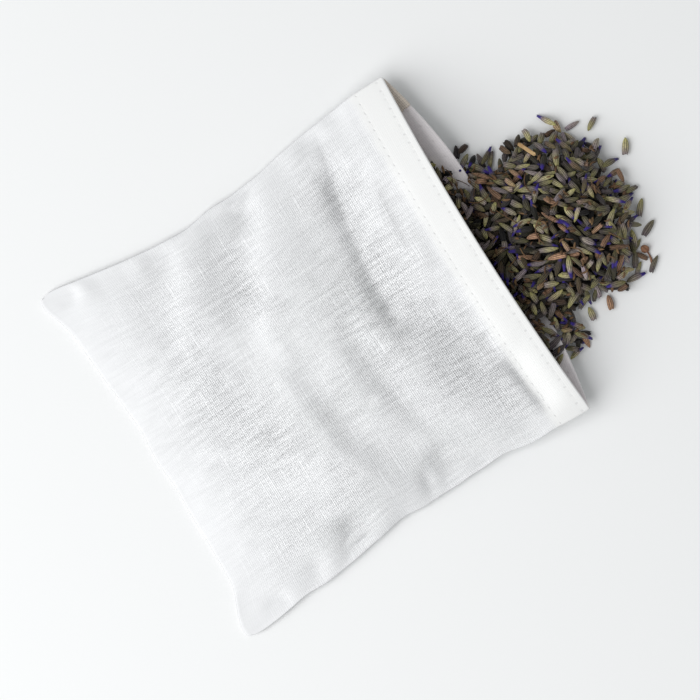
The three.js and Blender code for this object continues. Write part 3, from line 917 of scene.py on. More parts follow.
    def contact(self, u: np.ndarray, v: np.ndarray) -> np.ndarray:
        """How much of the fill shows through the front cloth, less near the seams and none in the hem.

        Args:
            u: Across the bag.
            v: Along the bag.

        Returns:
            Shares from 0 to 1.5.
        """
        off_hem = 1 - smoothstep(v, 0.88, 0.93)
        off_base = mix(0.5, 1, smoothstep(v, 0, 0.14))
        inside = (1 - 0.7 * np.abs(u) ** 8) * off_hem * off_base
        return inside * np.clip(self.press(u, v), 0, 1.5)

    def weave_shows(self, u: np.ndarray, v: np.ndarray) -> np.ndarray:
        """How much more clearly than usual the weave shows, partly as painted light: clear over dark fill and
        towards the shaded right side, faint beside the seams and on the base slope, which faces the light.

        Args:
            u: Across the bag.
            v: Along the bag.

        Returns:
            Changes of the weave's strength, from -1 where it would vanish.
        """
        # Painted light in part: the weave's contrast fades on the base slope, which faces the light, and
        # grows towards the right, which lies more in shade.
        off_sides = mix(0.45, 1, smoothstep(1 - np.abs(u), 0.02, 0.26))
        off_base = mix(0.12, 1, smoothstep(v, 0.0, 0.22))
        off_hem = mix(1, 0.6, smoothstep(v, 0.82, 0.91))
        dark = np.clip(0.6 + 0.7 * self.press(u, v) + 0.3 * u, 0.3, 1.6)
        return off_sides * off_base * off_hem * dark - 1

    def beside(self, distance: np.ndarray, start: float, reach: float) -> np.ndarray:
        """Strength of puckers at a distance from a seam: rising from 0 over start, dying out over reach."""
        return np.exp(-distance / reach) * (1 - np.exp(-distance / start))

    def front(self, u: np.ndarray, v: np.ndarray) -> np.ndarray:
        """Points of the front cloth's outer face.

        The crown carries the folds, soft lumps of the buds under it, puckers that run in from the seams, and
        the hem's step and stitched furrows.

        Args:
            u: Across the bag.
            v: Along the bag.

        Returns:
            Points, shaped as u by 3.
        """
        x, y = self.plan(u, v, self.front_lip_bow)
        inland = 1 - u * u
        single = 1 - smoothstep(v, self.hem_start - 0.03, self.hem_start)
        rise = self.relief(x, y)
        lumps = sum(patch.at(x, y) for patch in self.lumps)
        held = smoothstep(v, 0.0, 0.12) * mix(0.35, 1.0, single)
        to_side = (1 - np.abs(u)) * self.half_width(v)
        pucker = self.puckers.at(y, np.sign(u) * 50.0 + 90)
        pucker = pucker * self.beside(to_side, self.pucker_start, self.pucker_reach)
        gather = self.gathers.at(x, v * 0 + 10.0)
        gather = gather * self.beside(v * self.length, self.gather_start, self.gather_reach)
        from_edge = (1 - v) * self.length
        rows = (self.edge_row, self.fold_row)
        furrow = sum(np.exp(-((from_edge - row) / self.furrow_width) ** 2) for row in rows)
        step = smoothstep(v, self.hem_start - 0.02, self.hem_start + 0.01)
        hem = self.hem_step * step - self.furrow_depth * furrow
        sewn = 1 - np.abs(u) ** 20
        z = self.smooth_front(u, v) + rise * sewn + lumps * inland * held + hem * sewn
        z = z + (pucker + gather) * (1 - 0.8 * (1 - single))
        spare = z - self.room(u, v)
        return np.stack([x, y, z + (np.sqrt(spare * spare + self.soft_stop ** 2) - spare) / 2], -1)

    def front_layer(self, v: np.ndarray) -> np.ndarray:
        """Thickness of a panel: one cloth, or the hem's three."""
        return mix(self.cloth, self.hem_stack, smoothstep(v, self.hem_start - 0.008, self.hem_start))

    def layer(self, u: np.ndarray, v: np.ndarray) -> np.ndarray:
        """Thickness of a panel over its whole width: at the side seams the hem's layers ease in."""
        return mix(self.front_layer(v), self.seam_layer(v), smoothstep(np.abs(u), 0.955, 0.985))

    def back_bow(self, u: np.ndarray) -> np.ndarray:
        """Bow of the back lip, fuller on the left, as a share of the plan's own curve across the mouth."""
        fuller = mix(1.12, 0.86, smoothstep(u, -0.4, 0.4))
        return self.back_lip_bow * fuller * (1.001 - np.abs(u) ** 2.6) / (1.001 - u * u)

    def lip_free(self, u: np.ndarray) -> np.ndarray:
        """How far the back lip curls up beside the heap: nothing at the middle and at the sewn corners."""
        left = smoothstep(-u, self.curl_left, self.curl_left + self.curl_ramp)
        right = smoothstep(u, self.curl_right, self.curl_right + self.curl_ramp)
        return (left + right) * (1 - u ** 4)

    def back(self, u: np.ndarray, v: np.ndarray, height: np.ndarray | float) -> np.ndarray:
        """Points over the back cloth's underside."""
        x, y = self.plan(u, v, self.back_bow(u))
        return np.stack([x, y, self.lift(u, v) + height], -1)

    def lip_share(self, x: np.ndarray, y: np.ndarray) -> np.ndarray:
        """How far a point follows the lifted lip: not at the bend and the side seams, fully in the middle.

        Args:
            x: Plan coordinate along the mouth.
            y: Plan coordinate towards the mouth.

        Returns:
            Shares from 0 to 1.
        """
        bend = self.length / 2 - self.bend_to_mouth
        towards = smoothstep(y, bend - self.bend_ramp, self.length / 2 - self.lip_margin)
        v = np.clip(y / self.length + 0.5, 0, 1)
        centre = mix(self.base_shift, self.mouth_shift, v)
        seam, _ = self.plan(np.where(x < centre, -1.0, 1.0), v, 0.0)
        across = np.clip((x - centre) / (seam - centre - np.sign(x - centre) * self.sewn_margin), 0, 1)
        return towards * (1 - across ** 2.2)


@dataclass
class ClothGrid:
    """Rows and columns of a panel, closer together in the hem."""

    shape: BagShape
    columns: int = 250
    panel_rows: int = 150
    hem_rows: int = 36
    hem_edge: Patches = Patches(0.4, 3, 7)

    def parameters(self) -> tuple[np.ndarray, np.ndarray]:
        """The grid's u and v, as two arrays of rows by columns."""
        start = self.shape.hem_start - 0.02
        v = np.concatenate([np.linspace(0, start, self.panel_rows, endpoint=False),
                            np.linspace(start, 1, self.hem_rows)])
        return np.meshgrid(np.linspace(-1, 1, self.columns), v)

    def flat(self, u: np.ndarray, v: np.ndarray) -> np.ndarray:
        """Flat coordinates on the cut cloth, in metres."""
        return np.stack([u * self.shape.half_width(v), v * self.shape.length], -1) * MM

    def values(self, surface: Surface, face: Face) -> Surface:
        """Gives a panel the values that its finish reads.

        They are its hem, its needle holes, how the fill and the weave show, the painted shade in the crease
        of its edge, and the face that looks into the bag.

        Args:
            surface: The panel.
            face: Which panel it is.

        Returns:
            The same surface.
        """
        across, along = surface.flat[:, 0] / MM, surface.flat[:, 1] / MM
        from_edge = self.shape.length - along
        ragged = self.hem_edge.at(across, along * 0 + 5.0)
        depth = self.shape.hem_depth
        surface.values["hem"] = 1 - smoothstep(from_edge + ragged, depth - 1.0, depth + 1.6)
        step = np.mod(across, self.shape.stitch_pitch) - self.shape.stitch_pitch / 2
        rows = np.minimum(np.abs(from_edge - self.shape.edge_row), np.abs(from_edge - self.shape.fold_row))
        # Needle holes: dented in the relief, and darkened in colour as painted shade.
        surface.values["hole"] = 1 - smoothstep(np.hypot(step, rows), 0.10, 0.36)
        v = along / self.shape.length
        u = across / self.shape.half_width(v)
        over_fill = float(face is Face.FRONT)
        surface.values["contact"] = over_fill * self.shape.contact(u, v)
        surface.values["show"] = over_fill * self.shape.weave_shows(u, v)
        under = surface.values.pop("underside")
        # Painted shade in the crease where the two cloths meet: darkest in the middle of each rim, none near
        # the mouth.
        surface.values["crease_shade"] = 4 * under * (1 - under) * (1 - smoothstep(v, 0.80, 0.90))
        surface.values["inner"] = smoothstep(np.abs(under - face.value), 0.3, 0.6)
        return surface


@dataclass
class MuslinBag:
    """The bag: front and back panels with their hems, stitching and turned-in seams."""

    shape: BagShape
    finish: MuslinFinish = MuslinFinish(
        "muslin", (0.825, 0.833, 0.845, 1), (0.905, 0.910, 0.903, 1), (0.910, 0.870, 0.882, 1))
    thread: ThreadFinish = ThreadFinish("sewing_thread", (0.92, 0.925, 0.92, 1), (0.88, 0.885, 0.88, 1))
    raw_edge: MuslinFinish = MuslinFinish(
        "raw_edge", (0.690, 0.620, 0.540, 1), (0.690, 0.620, 0.540, 1), (0.690, 0.620, 0.540, 1), grain=0.2)
    cut_length: float = 124.0
    thread_diameter: float = 0.24
    stitch_length: float = 2.3
    seam_allowance: float = 7.0
    seam_touch: float = 0.005
    edge_bulge: float = 0.45
    edge_clearance: float = 0.12
    edge_points: tuple[int, int] = (120, 16)
    fray: Patches = Patches(0.35, 1.1, 11)
    base_edge: Pair = (0.045, 0.112)
    base_reach: float = 0.8
    base_row: float = 0.022
    side_sewn: Pair = (0.11, 0.90)
    side_row: float = 1.4
    thread_sink: float = 0.05

    def build(self) -> None:
        """Makes and dresses every piece of the bag."""
        cloth = self.finish.material()
        sewing = self.thread.material()
        raw = self.raw_edge.material()
        edge, fold = self.shape.edge_row, self.shape.fold_row
        front_rows = [
            self.hem_row("front_hem_edge_stitches", Face.FRONT, edge, sewing, "front_hem_edge_thread"),
            self.hem_row("front_hem_fold_stitches", Face.FRONT, fold, sewing, "front_hem_fold_thread"),
        ]
        back_rows = [
            self.hem_row("back_hem_edge_stitches", Face.BACK, edge, sewing, "back_hem_edge_thread"),
            self.hem_row("back_hem_fold_stitches", Face.BACK, fold, sewing, "back_hem_fold_thread"),
        ]
        turned_in = [
            self.side_allowance("left_raw_edges", -1, raw, "left_seam_allowance"),
            self.side_allowance("right_raw_edges", 1, raw, "right_seam_allowance"),
            self.base_allowance("base_raw_edges", raw, "base_seam_allowance"),
            self.side_stitches("left_seam_stitches", -1, sewing, "left_seam_thread"),
            self.side_stitches("right_seam_stitches", 1, sewing, "right_seam_thread"),
            self.base_stitches("base_seam_stitches", sewing, "base_seam_thread"),
        ]
        front = self.front_panel(cloth)
        back = self.back_panel(cloth)

    def follow_lip(self, piece: bpy.types.Object) -> None:
        """Bakes a piece of the front in its place and works out how far each point would follow the lifted
        lip.

        Args:
            piece: A mesh of the front cloth, in its place.
        """
        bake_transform(piece)
        places = np.empty(len(piece.data.vertices) * 3, np.float32)
        piece.data.vertices.foreach_get("co", places)
        x, y = places[0::3] / MM, places[1::3] / MM
        share = self.shape.lip_share(x, y).astype(np.float32)

    def front_panel(self, cloth: bpy.types.Material) -> bpy.types.Object:
        """The front panel with its hem, as one closed sheet that meets the back panel along its seams.

        Args:
            cloth: Its material.

        Returns:
            The piece.
        """
        grid = ClothGrid(self.shape)
        u, v = grid.parameters()
        upper = self.shape.front(u, v)
        layer = self.shape.layer(u, v)
        sewn = np.maximum(smoothstep(np.abs(u), 0.985, 0.997), 1 - smoothstep(v, 0.002, 0.012))
        lower = upper.copy()
        lower[..., 2] = mix(upper[..., 2] - layer, self.shape.lift(u, v) + layer + self.seam_touch, sewn)
        surface = grid.values(shell(upper, lower, grid.flat(u, v), bulge=self.edge_bulge), Face.FRONT)
        piece = make_piece("front_cloth", surface, cloth)
        self.follow_lip(piece)
        return dress(piece, Slot.MUSLIN, "front_panel", "front_lip_panel", "front_hem")

    def back_panel(self, cloth: bpy.types.Material) -> bpy.types.Object:
        """The back panel with its hem, lying on the table.

        Args:
            cloth: Its material.

        Returns:
            The piece.
        """
        grid = ClothGrid(self.shape, columns=180, panel_rows=100, hem_rows=30)
        u, v = grid.parameters()
        upper = self.shape.back(u, v, self.shape.layer(u, v))
        lower = self.shape.back(u, v, 0.0)
        surface = grid.values(shell(upper, lower, grid.flat(u, v), bulge=self.edge_bulge), Face.BACK)
        piece = make_piece("back_cloth", surface, cloth)
        return seat(piece, Body.BAG, Slot.MUSLIN, "back_panel", "back_hem")

    def stitches(self, centres: np.ndarray, half: np.ndarray, along: np.ndarray) -> Surface:
        """Short arched stitches whose ends dive into the cloth.

        Args:
            centres: Middles of the stitches on the cloth, stitches by 3.
            half: Half vectors along the stitches, stitches by 3.
            along: Shares from -1 to 1 at which a stitch has a ring.

        Returns:
            The tubes.
        """
        arch = self.thread_diameter * (-0.38 - 0.4 * along ** 4)
        paths = centres[:, None] + half[:, None] * along[:, None]
        paths[:, :, 2] += arch
        radii = np.broadcast_to(self.thread_diameter / 2 * (1 - 0.75 * along ** 6), paths.shape[:2])
        return tubes(paths, radii)

    def sew(self, name: str, at: np.ndarray, material: bpy.types.Material) -> bpy.types.Object:
        """A row of stitches between points that lie one stitch pitch apart.

        Args:
            name: The piece's name.
            at: Needle holes along the row, holes by 3.
            material: The thread.

        Returns:
            The piece, not yet riding on a body.
        """
        run = at[1:] - at[:-1]
        half = unit(run) * self.stitch_length / 2
        surface = self.stitches((at[1:] + at[:-1]) / 2, half, np.linspace(-1, 1, 7))
        return make_piece(name, surface, material)

    def hem_row(self, name: str, face: Face, inset: float, thread: bpy.types.Material,
                node: str) -> bpy.types.Object:
        """One row of the hem's stitching, from side to side.

        Args:
            name: The piece's name.
            face: The panel it is on.
            inset: Distance of the row from the lip.
            thread: Its material.
            node: The node it stands for.

        Returns:
            The piece.
        """
        half = self.shape.mouth_width / 2
        count = int(half / self.shape.stitch_pitch)
        holes = np.arange(-count, count + 1)
        u = (holes - 0.5) * self.shape.stitch_pitch / half
        u = u[np.abs(u) < 0.985]
        v = np.full_like(u, 1 - inset / self.shape.length)
        if face is Face.FRONT:
            piece = self.sew(name, self.shape.front(u, v), thread)
            self.follow_lip(piece)
            return dress(piece, Slot.THREAD, node)
        piece = self.sew(name, self.shape.back(u, v, self.shape.hem_stack), thread)
        return seat(piece, Body.BAG, Slot.THREAD, node)

    def side_strip(self, side: int, v: np.ndarray, inset: float) -> np.ndarray:
        """The u at a distance from a side seam, in millimetres."""
        return side * (1 - inset / self.shape.half_width(v))

    def side_allowance(self, name: str, side: int, raw: bpy.types.Material, node: str) -> bpy.types.Object:
        """The two raw edges of a side seam, pressed to the back cloth up to the lip.

        Args:
            name: The piece's name.
            side: -1 for left, 1 for right.
            raw: Its material.
            node: The node it stands for.

        Returns:
            The piece.
        """
        mouth_end = 0.999 if side < 0 else 0.95
        rows, columns = self.edge_points
        t, s = np.meshgrid(np.linspace(0.10, mouth_end, rows), np.linspace(0, 1, columns), indexing="ij")
        fray = self.fray.at(t * self.shape.length, t * 0 + 3.0)
        close = (1 - self.shape.raw_outer(t)) * self.shape.half_width(t)
        near = mix(close, 0.7, smoothstep(t, 0.9, 0.95))
        far = close + self.seam_allowance + fray
        inset = mix(near, far, s) if side < 0 else mix(far, near, s)
        u = self.side_strip(side, t, inset)
        under = self.shape.front_layer(t) + self.edge_clearance
        flat = np.stack([s * self.seam_allowance, t * self.shape.length], -1) * MM
        upper = self.shape.back(u, t, under + 2 * self.shape.cloth)
        surface = shell(upper, self.shape.back(u, t, under), flat)
        return self.raw_piece(name, surface, raw, node)

    def base_allowance(self, name: str, raw: bpy.types.Material, node: str) -> bpy.types.Object:
        """The two raw edges of the base seam, pressed to the back cloth.

        Args:
            name: The piece's name.
            raw: Its material.
            node: The node it stands for.

        Returns:
            The piece.
        """
        columns, rows = self.edge_points
        across = np.linspace(-self.base_reach, self.base_reach, columns)
        v, u = np.meshgrid(np.linspace(*self.base_edge, rows), across, indexing="ij")
        flat = np.stack([u * self.shape.half_width(v), v * self.shape.length], -1) * MM
        under = self.shape.cloth + self.edge_clearance
        upper = self.shape.back(u, v, under + 2 * self.shape.cloth)
        return self.raw_piece(name, shell(upper, self.shape.back(u, v, under), flat), raw, node)

    def raw_piece(self, name: str, surface: Surface, raw: bpy.types.Material, node: str) -> bpy.types.Object:
        """Makes a strip of raw cloth, which has no hem, no needle holes and no fill behind it."""
        surface.values = {key: np.zeros(len(surface.points)) for key in ("hem", "hole", "inner", "contact")}
        return seat(make_piece(name, surface, raw), Body.BAG, Slot.RAW_EDGE, node)

    def side_stitches(self, name: str, side: int, thread: bpy.types.Material, node: str) -> bpy.types.Object:
        """The sewing of a side seam, between the seam and its raw edges.

        Args:
            name: The piece's name.
            side: -1 for left, 1 for right.
            thread: Its material.
            node: The node it stands for.

        Returns:
            The piece.
        """
        v = np.arange(*self.side_sewn, self.shape.stitch_pitch / self.shape.length)
        u = self.side_strip(side, v, self.side_row)
        holes = self.shape.back(u, v, self.shape.front_layer(v) - self.thread_sink)
        return seat(self.sew(name, holes, thread), Body.BAG, Slot.THREAD, node)

    def base_stitches(self, name: str, thread: bpy.types.Material, node: str) -> bpy.types.Object:
        """The sewing of the base seam.

        Args:
            name: The piece's name.
            thread: Its material.
            node: The node it stands for.

        Returns:
            The piece.
        """
        pitch = self.shape.stitch_pitch / self.shape.half_width(0.0)
        u = np.arange(-self.base_reach, self.base_reach, pitch)
        v = np.full_like(u, self.base_row)
        holes = self.shape.back(u, v, self.shape.cloth - self.thread_sink)
        return seat(self.sew(name, holes, thread), Body.BAG, Slot.THREAD, node)


# Lavender

@dataclass
class Buds:
    """Many buds: middles, turns and sizes, with a tone, a hue and petals for each."""

    places: np.ndarray
    yaw: np.ndarray
    pitch: np.ndarray
    length: np.ndarray
    diameter: np.ndarray
    tone: np.ndarray
    hue: np.ndarray
    petal: np.ndarray
    bow: np.ndarray
    flatness: np.ndarray

    def pick(self, mask: np.ndarray) -> Buds:
        """The buds for which a mask holds."""
        return Buds(*(getattr(self, key)[mask] for key in self.__dataclass_fields__))


@dataclass(frozen=True)
class CalyxShape:
    """One dried calyx along +X: a slim spindle with a pointed base, and a toothed open end or a petal tube.

    Its section is round, and its radius along the length runs through the given stations.
    """

    sides: int = 7
    stations: tuple[tuple[float, float], ...] = (
        (0.0, 0.10), (0.09, 0.42), (0.32, 0.84), (0.62, 1.0), (0.88, 0.86), (0.97, 0.74), (0.84, 0.28))
    petal_stations: tuple[tuple[float, float], ...] = (
        (0.0, 0.10), (0.09, 0.42), (0.32, 0.84), (0.62, 1.0), (0.88, 0.80), (1.06, 0.52), (1.30, 0.34))
    tooth: float = 0.045
    teeth: int = 3
    ridge: float = 0.07
    cup_shade: float = 0.85
    petal_start: float = 0.95

    def strew(self, buds: Buds, with_petals: bool) -> Surface:
        """Places a calyx for each bud.

        Args:
            buds: The buds.
            with_petals: Whether these buds carry a petal tube.

        Returns:
            One surface for all of them, with tone, hue and petal values.
        """
        stations = np.array(self.petal_stations if with_petals else self.stations)
        rings = len(stations)
        rim = int(stations[:, 0].argmax())
        k = np.arange(self.sides)
        angle = 2 * math.pi * k / self.sides
        along = np.repeat(stations[:, :1], self.sides, 1)
        along[rim] += self.tooth * np.cos(self.teeth * angle)
        radius = np.repeat(stations[:, 1:], self.sides, 1) * (1 + self.ridge * np.cos(self.teeth * angle))
        length, width, bow, pitch, yaw = (value[:, None, None] for value in (
            buds.length, buds.diameter, buds.bow, buds.pitch, buds.yaw))
        x = (along - 0.5) * length
        y = radius * np.cos(angle) * width / 2 + bow * (along - 0.5) ** 2 * length
        z = radius * np.sin(angle) * width / 2 * buds.flatness[:, None, None]
        ahead = x * np.cos(pitch) - z * np.sin(pitch)
        up = x * np.sin(pitch) + z * np.cos(pitch)
        over_x = ahead * np.cos(yaw) - y * np.sin(yaw)
        over_y = ahead * np.sin(yaw) + y * np.cos(yaw)
        points = np.stack([over_x, over_y, up], -1) + buds.places[:, None, None]
        points[..., 2] += np.maximum(0, LEAST_HEIGHT - points[..., 2].min((1, 2)))[:, None, None]

        many = len(buds.yaw)
        each = rings * self.sides
        flat = np.stack([np.tile(along.ravel(), many), np.tile(k / self.sides, many * rings)], 1)
        petal = np.repeat(stations[:, 0] > self.petal_start, self.sides) * float(with_petals)
        cup = np.repeat(np.arange(rings) > rim, self.sides)
        values = {"tone": np.repeat(buds.tone, each) * (1 - self.cup_shade * np.tile(cup, many)),
                  "hue": np.repeat(buds.hue, each), "petal": np.tile(petal, many)}
        return Surface(points.reshape(-1, 3), ring_faces(rings, self.sides, many), flat, values)


def join(surfaces: list[Surface]) -> Surface:
    """Several surfaces as one.

    Args:
        surfaces: The surfaces, which have the same named values.

    Returns:
        The joined surface.
    """
    starts = np.cumsum([0] + [len(s.points) for s in surfaces[:-1]])
    faces = [block + start for s, start in zip(surfaces, starts) for block in s.faces]
    values = {key: np.concatenate([s.values[key] for s in surfaces]) for key in surfaces[0].values}
    return Surface(np.concatenate([s.points for s in surfaces]), faces,
                   np.concatenate([s.flat for s in surfaces]), values)


@dataclass
class SettlingBed:
    """A height map on which buds come to rest one after another, each on what lies there already."""

    low: Pair
    high: Pair
    cell: float = 0.25
    steepest: float = 0.8

    def __post_init__(self) -> None:
        """Lays out the map's points, at table height."""
        self.xs = np.arange(self.low[0], self.high[0], self.cell)
        self.ys = np.arange(self.low[1], self.high[1], self.cell)
        self.x, self.y = np.meshgrid(self.xs, self.ys, indexing="ij")
        self.height = np.zeros_like(self.x)

    def look(self, x: np.ndarray, y: np.ndarray) -> np.ndarray:
        """The map's height at plan points."""
        i = np.clip(np.rint((x - self.low[0]) / self.cell).astype(int), 0, len(self.xs) - 1)
        j = np.clip(np.rint((y - self.low[1]) / self.cell).astype(int), 0, len(self.ys) - 1)
        return self.height[i, j]

    def rest(self, x: float, y: float, yaw: float, length: float, radius: float) -> tuple[float, float]:
        """Height of the middle and slope of a bud that is laid down at a place.

        The bud rests on the highest chord, over its middle, between two of the points under it.

        Args:
            x: Plan coordinate.
            y: Plan coordinate.
            yaw: Its heading.
            length: Its length.
            radius: Its largest radius.

        Returns:
            The height and the slope.
        """
        along = np.linspace(-0.42, 0.42, 7) * length
        across = np.array([-0.45, 0.0, 0.45])[:, None] * radius
        under = self.look(x + along * math.cos(yaw) - across * math.sin(yaw),
                          y + along * math.sin(yaw) + across * math.cos(yaw)).max(0)
        thick = radius * (1 - np.abs(along / length * 1.9) ** 2.2)
        under = np.maximum(under + 0.8 * thick, 1.02 * thick)
        before, after = along[:3, None], along[None, 4:]
        chord = (under[:3, None] * after - under[None, 4:] * before) / (after - before)
        best = np.unravel_index(chord.argmax(), chord.shape)
        slope = (under[4 + best[1]] - under[best[0]]) / (along[4 + best[1]] - along[best[0]])
        slope = float(np.clip(slope, -self.steepest, self.steepest))
        return float(max(chord.max(), under[3])), slope

    def bury(self, x: float, y: float, z: float, yaw: float, slope: float, length: float,
             radius: float) -> None:
        """Raises the map to the top of a bud that has come to rest.

        Args:
            x: Plan coordinate.
            y: Plan coordinate.
            z: Height of its middle.
            yaw: Its heading.
            slope: Its slope.
            length: Its length.
            radius: Its largest radius.
        """
        reach = int((length / 2 + radius) / self.cell) + 1
        i = int(round((x - self.low[0]) / self.cell))
        j = int(round((y - self.low[1]) / self.cell))
        part = (slice(max(0, i - reach), i + reach + 1), slice(max(0, j - reach), j + reach + 1))
        dx, dy = self.x[part] - x, self.y[part] - y
        along = dx * math.cos(yaw) + dy * math.sin(yaw)
        across = dy * math.cos(yaw) - dx * math.sin(yaw)
        section = radius * np.maximum(0, 1 - np.abs(2 * along / length) ** 2.2) ** 0.6
        top = z + along * slope + np.sqrt(np.maximum(0, section ** 2 - across ** 2))
        before = self.height[part]
        self.height[part] = np.where(np.abs(across) < section, np.maximum(before, top), before)


@dataclass
class BudStock:
    """What every pile of buds shares: the calyx, the finishes and the seeded source of chance."""

    calyx: CalyxShape = CalyxShape()
    finish: BudFinish = BudFinish("dried_buds")
    stem_finish: StemFinish = StemFinish("dry_stems", (0.20, 0.125, 0.06, 1), (0.075, 0.036, 0.024, 1))
    mean_length: float = 4.7
    mean_diameter: float = 1.62
    refusals: int = 800
    tries: int = 8
    least_pile: float = 0.4
    overshoot: float = 0.55
    core_lumps: Patches = Patches(0.3, 1.4, 31)
    core_tones: Patches = Patches(0.05, 1.5, 32)
    core_hues: Patches = Patches(0.35, 2.4, 23)
    # The packed cores' dark tone is painted shade: the inside of a pile, seen between its loose buds.
    core_tone: float = 0.06
    core_hue: float = 0.6

    def __post_init__(self) -> None:
        """Makes the finishes and starts the source of chance."""
        self.rng = np.random.default_rng(SEED)
        self.material = self.finish.material()
        self.stems = self.stem_finish.material()

    def draw(self, rows: np.ndarray) -> Buds:
        """Buds at given places, with chance tones, hues and shapes.

        Args:
            rows: x, y, z, heading, pitch, length and diameter of each bud.

        Returns:
            The buds.
        """
        many = len(rows)
        return Buds(
            rows[:, :3], rows[:, 3], rows[:, 4], rows[:, 5], rows[:, 6], self.rng.beta(1.15, 1.6, many),
            self.rng.uniform(0, 1, many), self.rng.uniform(0, 1, many), self.rng.normal(0, 0.09, many),
            self.rng.uniform(0.70, 1.0, many))

    def lay(self, bed: SettlingBed, x: float, y: float, ceiling: float) -> tuple[float, ...] | None:
        """Lays one bud of chance size and heading on a bed.

        Args:
            bed: What it comes to rest on.
            x: Plan coordinate.
            y: Plan coordinate.
            ceiling: The greatest height of its middle.

        Returns:
            The bud's row, or None where it would lie too high.
        """
        length = self.mean_length * self.rng.uniform(0.76, 1.18)
        radius = self.mean_diameter / 2 * self.rng.uniform(0.80, 1.16)
        yaw = self.rng.uniform(0, 2 * math.pi)
        z, slope = bed.rest(x, y, yaw, length, radius)
        if z > ceiling:
            return None
        bed.bury(x, y, z, yaw, slope, length, radius)
        return x, y, z, yaw, math.atan(slope), length, 2 * radius

    def settle(self, bed: SettlingBed, target: np.ndarray, count: int) -> np.ndarray:
        """Lays buds on a bed, one by one, where the pile is lowest under its target height.

        Args:
            bed: The bed.
            target: The pile's height on the bed's points.
            count: The most buds that are laid.

        Returns:
            The rows of the buds.
        """
        cells = np.argwhere(target > self.least_pile)
        rows: list[tuple[float, ...]] = []
        refused = 0
        while len(rows) < count and refused < self.refusals:
            tries = cells[self.rng.integers(0, len(cells), self.tries)]
            lack = target[tries[:, 0], tries[:, 1]] - bed.height[tries[:, 0], tries[:, 1]]
            i, j = tries[lack.argmax()]
            place = bed.xs[i], bed.ys[j]
            row = self.lay(bed, *place, target[i, j] + self.overshoot)
            if row is None:
                refused += 1
            else:
                rows.append(row)
        log.info("settled %d buds, %d places refused", len(rows), refused)
        return np.array(rows)

    def pile(self, name: str, rows: np.ndarray, petal_share: float, bed: SettlingBed, body: Body,
             *nodes: str) -> bpy.types.Object:
        """One mesh of many buds, which are darker the deeper they lie, as painted shade.

        Args:
            name: The piece's name.
            rows: The rows of the buds.
            petal_share: The share of them that carry petals.
            bed: The bed on which they have come to rest.
            body: The body it rides on.
            nodes: The nodes it stands for.

        Returns:
            The piece.
        """
        buds = self.draw(rows)
        depth = bed.look(rows[:, 0], rows[:, 1]) - rows[:, 2]
        # Painted shade: the deeper a bud lies under the pile's top, the darker its tone.
        buds.tone = buds.tone * mix(1.08, 0.45, smoothstep(depth, 0.9, 2.6))
        has = buds.petal < petal_share
        surface = join([self.calyx.strew(buds.pick(~has), False), self.calyx.strew(buds.pick(has), True)])
        return seat(make_piece(name, surface, self.material), body, Slot.BUDS, *nodes)

    def packed(self, name: str, upper: np.ndarray, floor: np.ndarray, body: Body,
               *nodes: str) -> bpy.types.Object:
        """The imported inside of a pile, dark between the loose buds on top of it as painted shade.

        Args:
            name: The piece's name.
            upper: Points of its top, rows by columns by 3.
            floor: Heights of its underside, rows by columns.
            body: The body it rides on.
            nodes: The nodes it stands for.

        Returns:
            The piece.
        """
        x, y = upper[..., 0], upper[..., 1]
        lumpy = upper[..., 2] + self.core_lumps.at(x, y)
        top = np.stack([x, y, np.maximum(lumpy, floor + 0.2)], -1)
        surface = shell(top, np.stack([x, y, floor], -1), np.stack([x / 5, y / 1.7], -1))
        plan = surface.points[:, 0], surface.points[:, 1]
        # Painted shade: the core is coloured dark, as the shade deep between the buds.
        surface.values = {"tone": self.core_tone + self.core_tones.at(*plan),
                          "hue": self.core_hue + self.core_hues.at(*plan),
                          "petal": np.zeros(len(surface.points))}
        return seat(make_piece(name, surface, self.material), body, Slot.BUDS, *nodes)

    def bits(self, name: str, bed: SettlingBed, target: np.ndarray, body: Body, stems: int,
             flakes: int) -> bpy.types.Object:
        """Thin stems and crumbs of petals that lie on top of a pile.

        Each is a slightly bowed tube, thin and long for a stem, short and wide in its middle for a crumb.

        Args:
            name: The piece's name.
            bed: The bed under them.
            target: The pile's height on the bed's points, which tells where the pile is.
            body: The body they ride on.
            stems: Number of stems.
            flakes: Number of crumbs.

        Returns:
            The piece.
        """
        cells = np.argwhere(target > 2.0)
        many = stems + flakes
        is_stem = np.arange(many) < stems
        length = np.where(is_stem, self.rng.uniform(3.5, 7.5, many), self.rng.uniform(0.9, 2.4, many))
        radius = np.where(is_stem, self.rng.uniform(0.10, 0.19, many), self.rng.uniform(0.18, 0.42, many))
        yaw = self.rng.uniform(0, 2 * math.pi, many)
        picks = cells[self.rng.integers(0, len(cells), many)]
        x, y = bed.xs[picks[:, 0]], bed.ys[picks[:, 1]]
        rests = np.array([bed.rest(*item) for item in zip(x, y, yaw, length, radius)])
        along = np.linspace(-0.5, 0.5, 6)
        run = length[:, None] * along
        bow = self.rng.normal(0, 0.12, many)[:, None] * length[:, None] * (along ** 2 - 0.08) * 4
        ahead, side = np.cos(yaw)[:, None], np.sin(yaw)[:, None]
        paths = np.stack([x[:, None] + run * ahead - bow * side, y[:, None] + run * side + bow * ahead,
                          rests[:, :1] + run * rests[:, 1:]], -1)
        thin = np.where(is_stem[:, None], 1 - 0.3 * (along + 0.5), 1.05 - 3.2 * along ** 2)
        piece = make_piece(name, tubes(paths, radius[:, None] * thin), self.stems)
        return seat(piece, body, Slot.STALK)


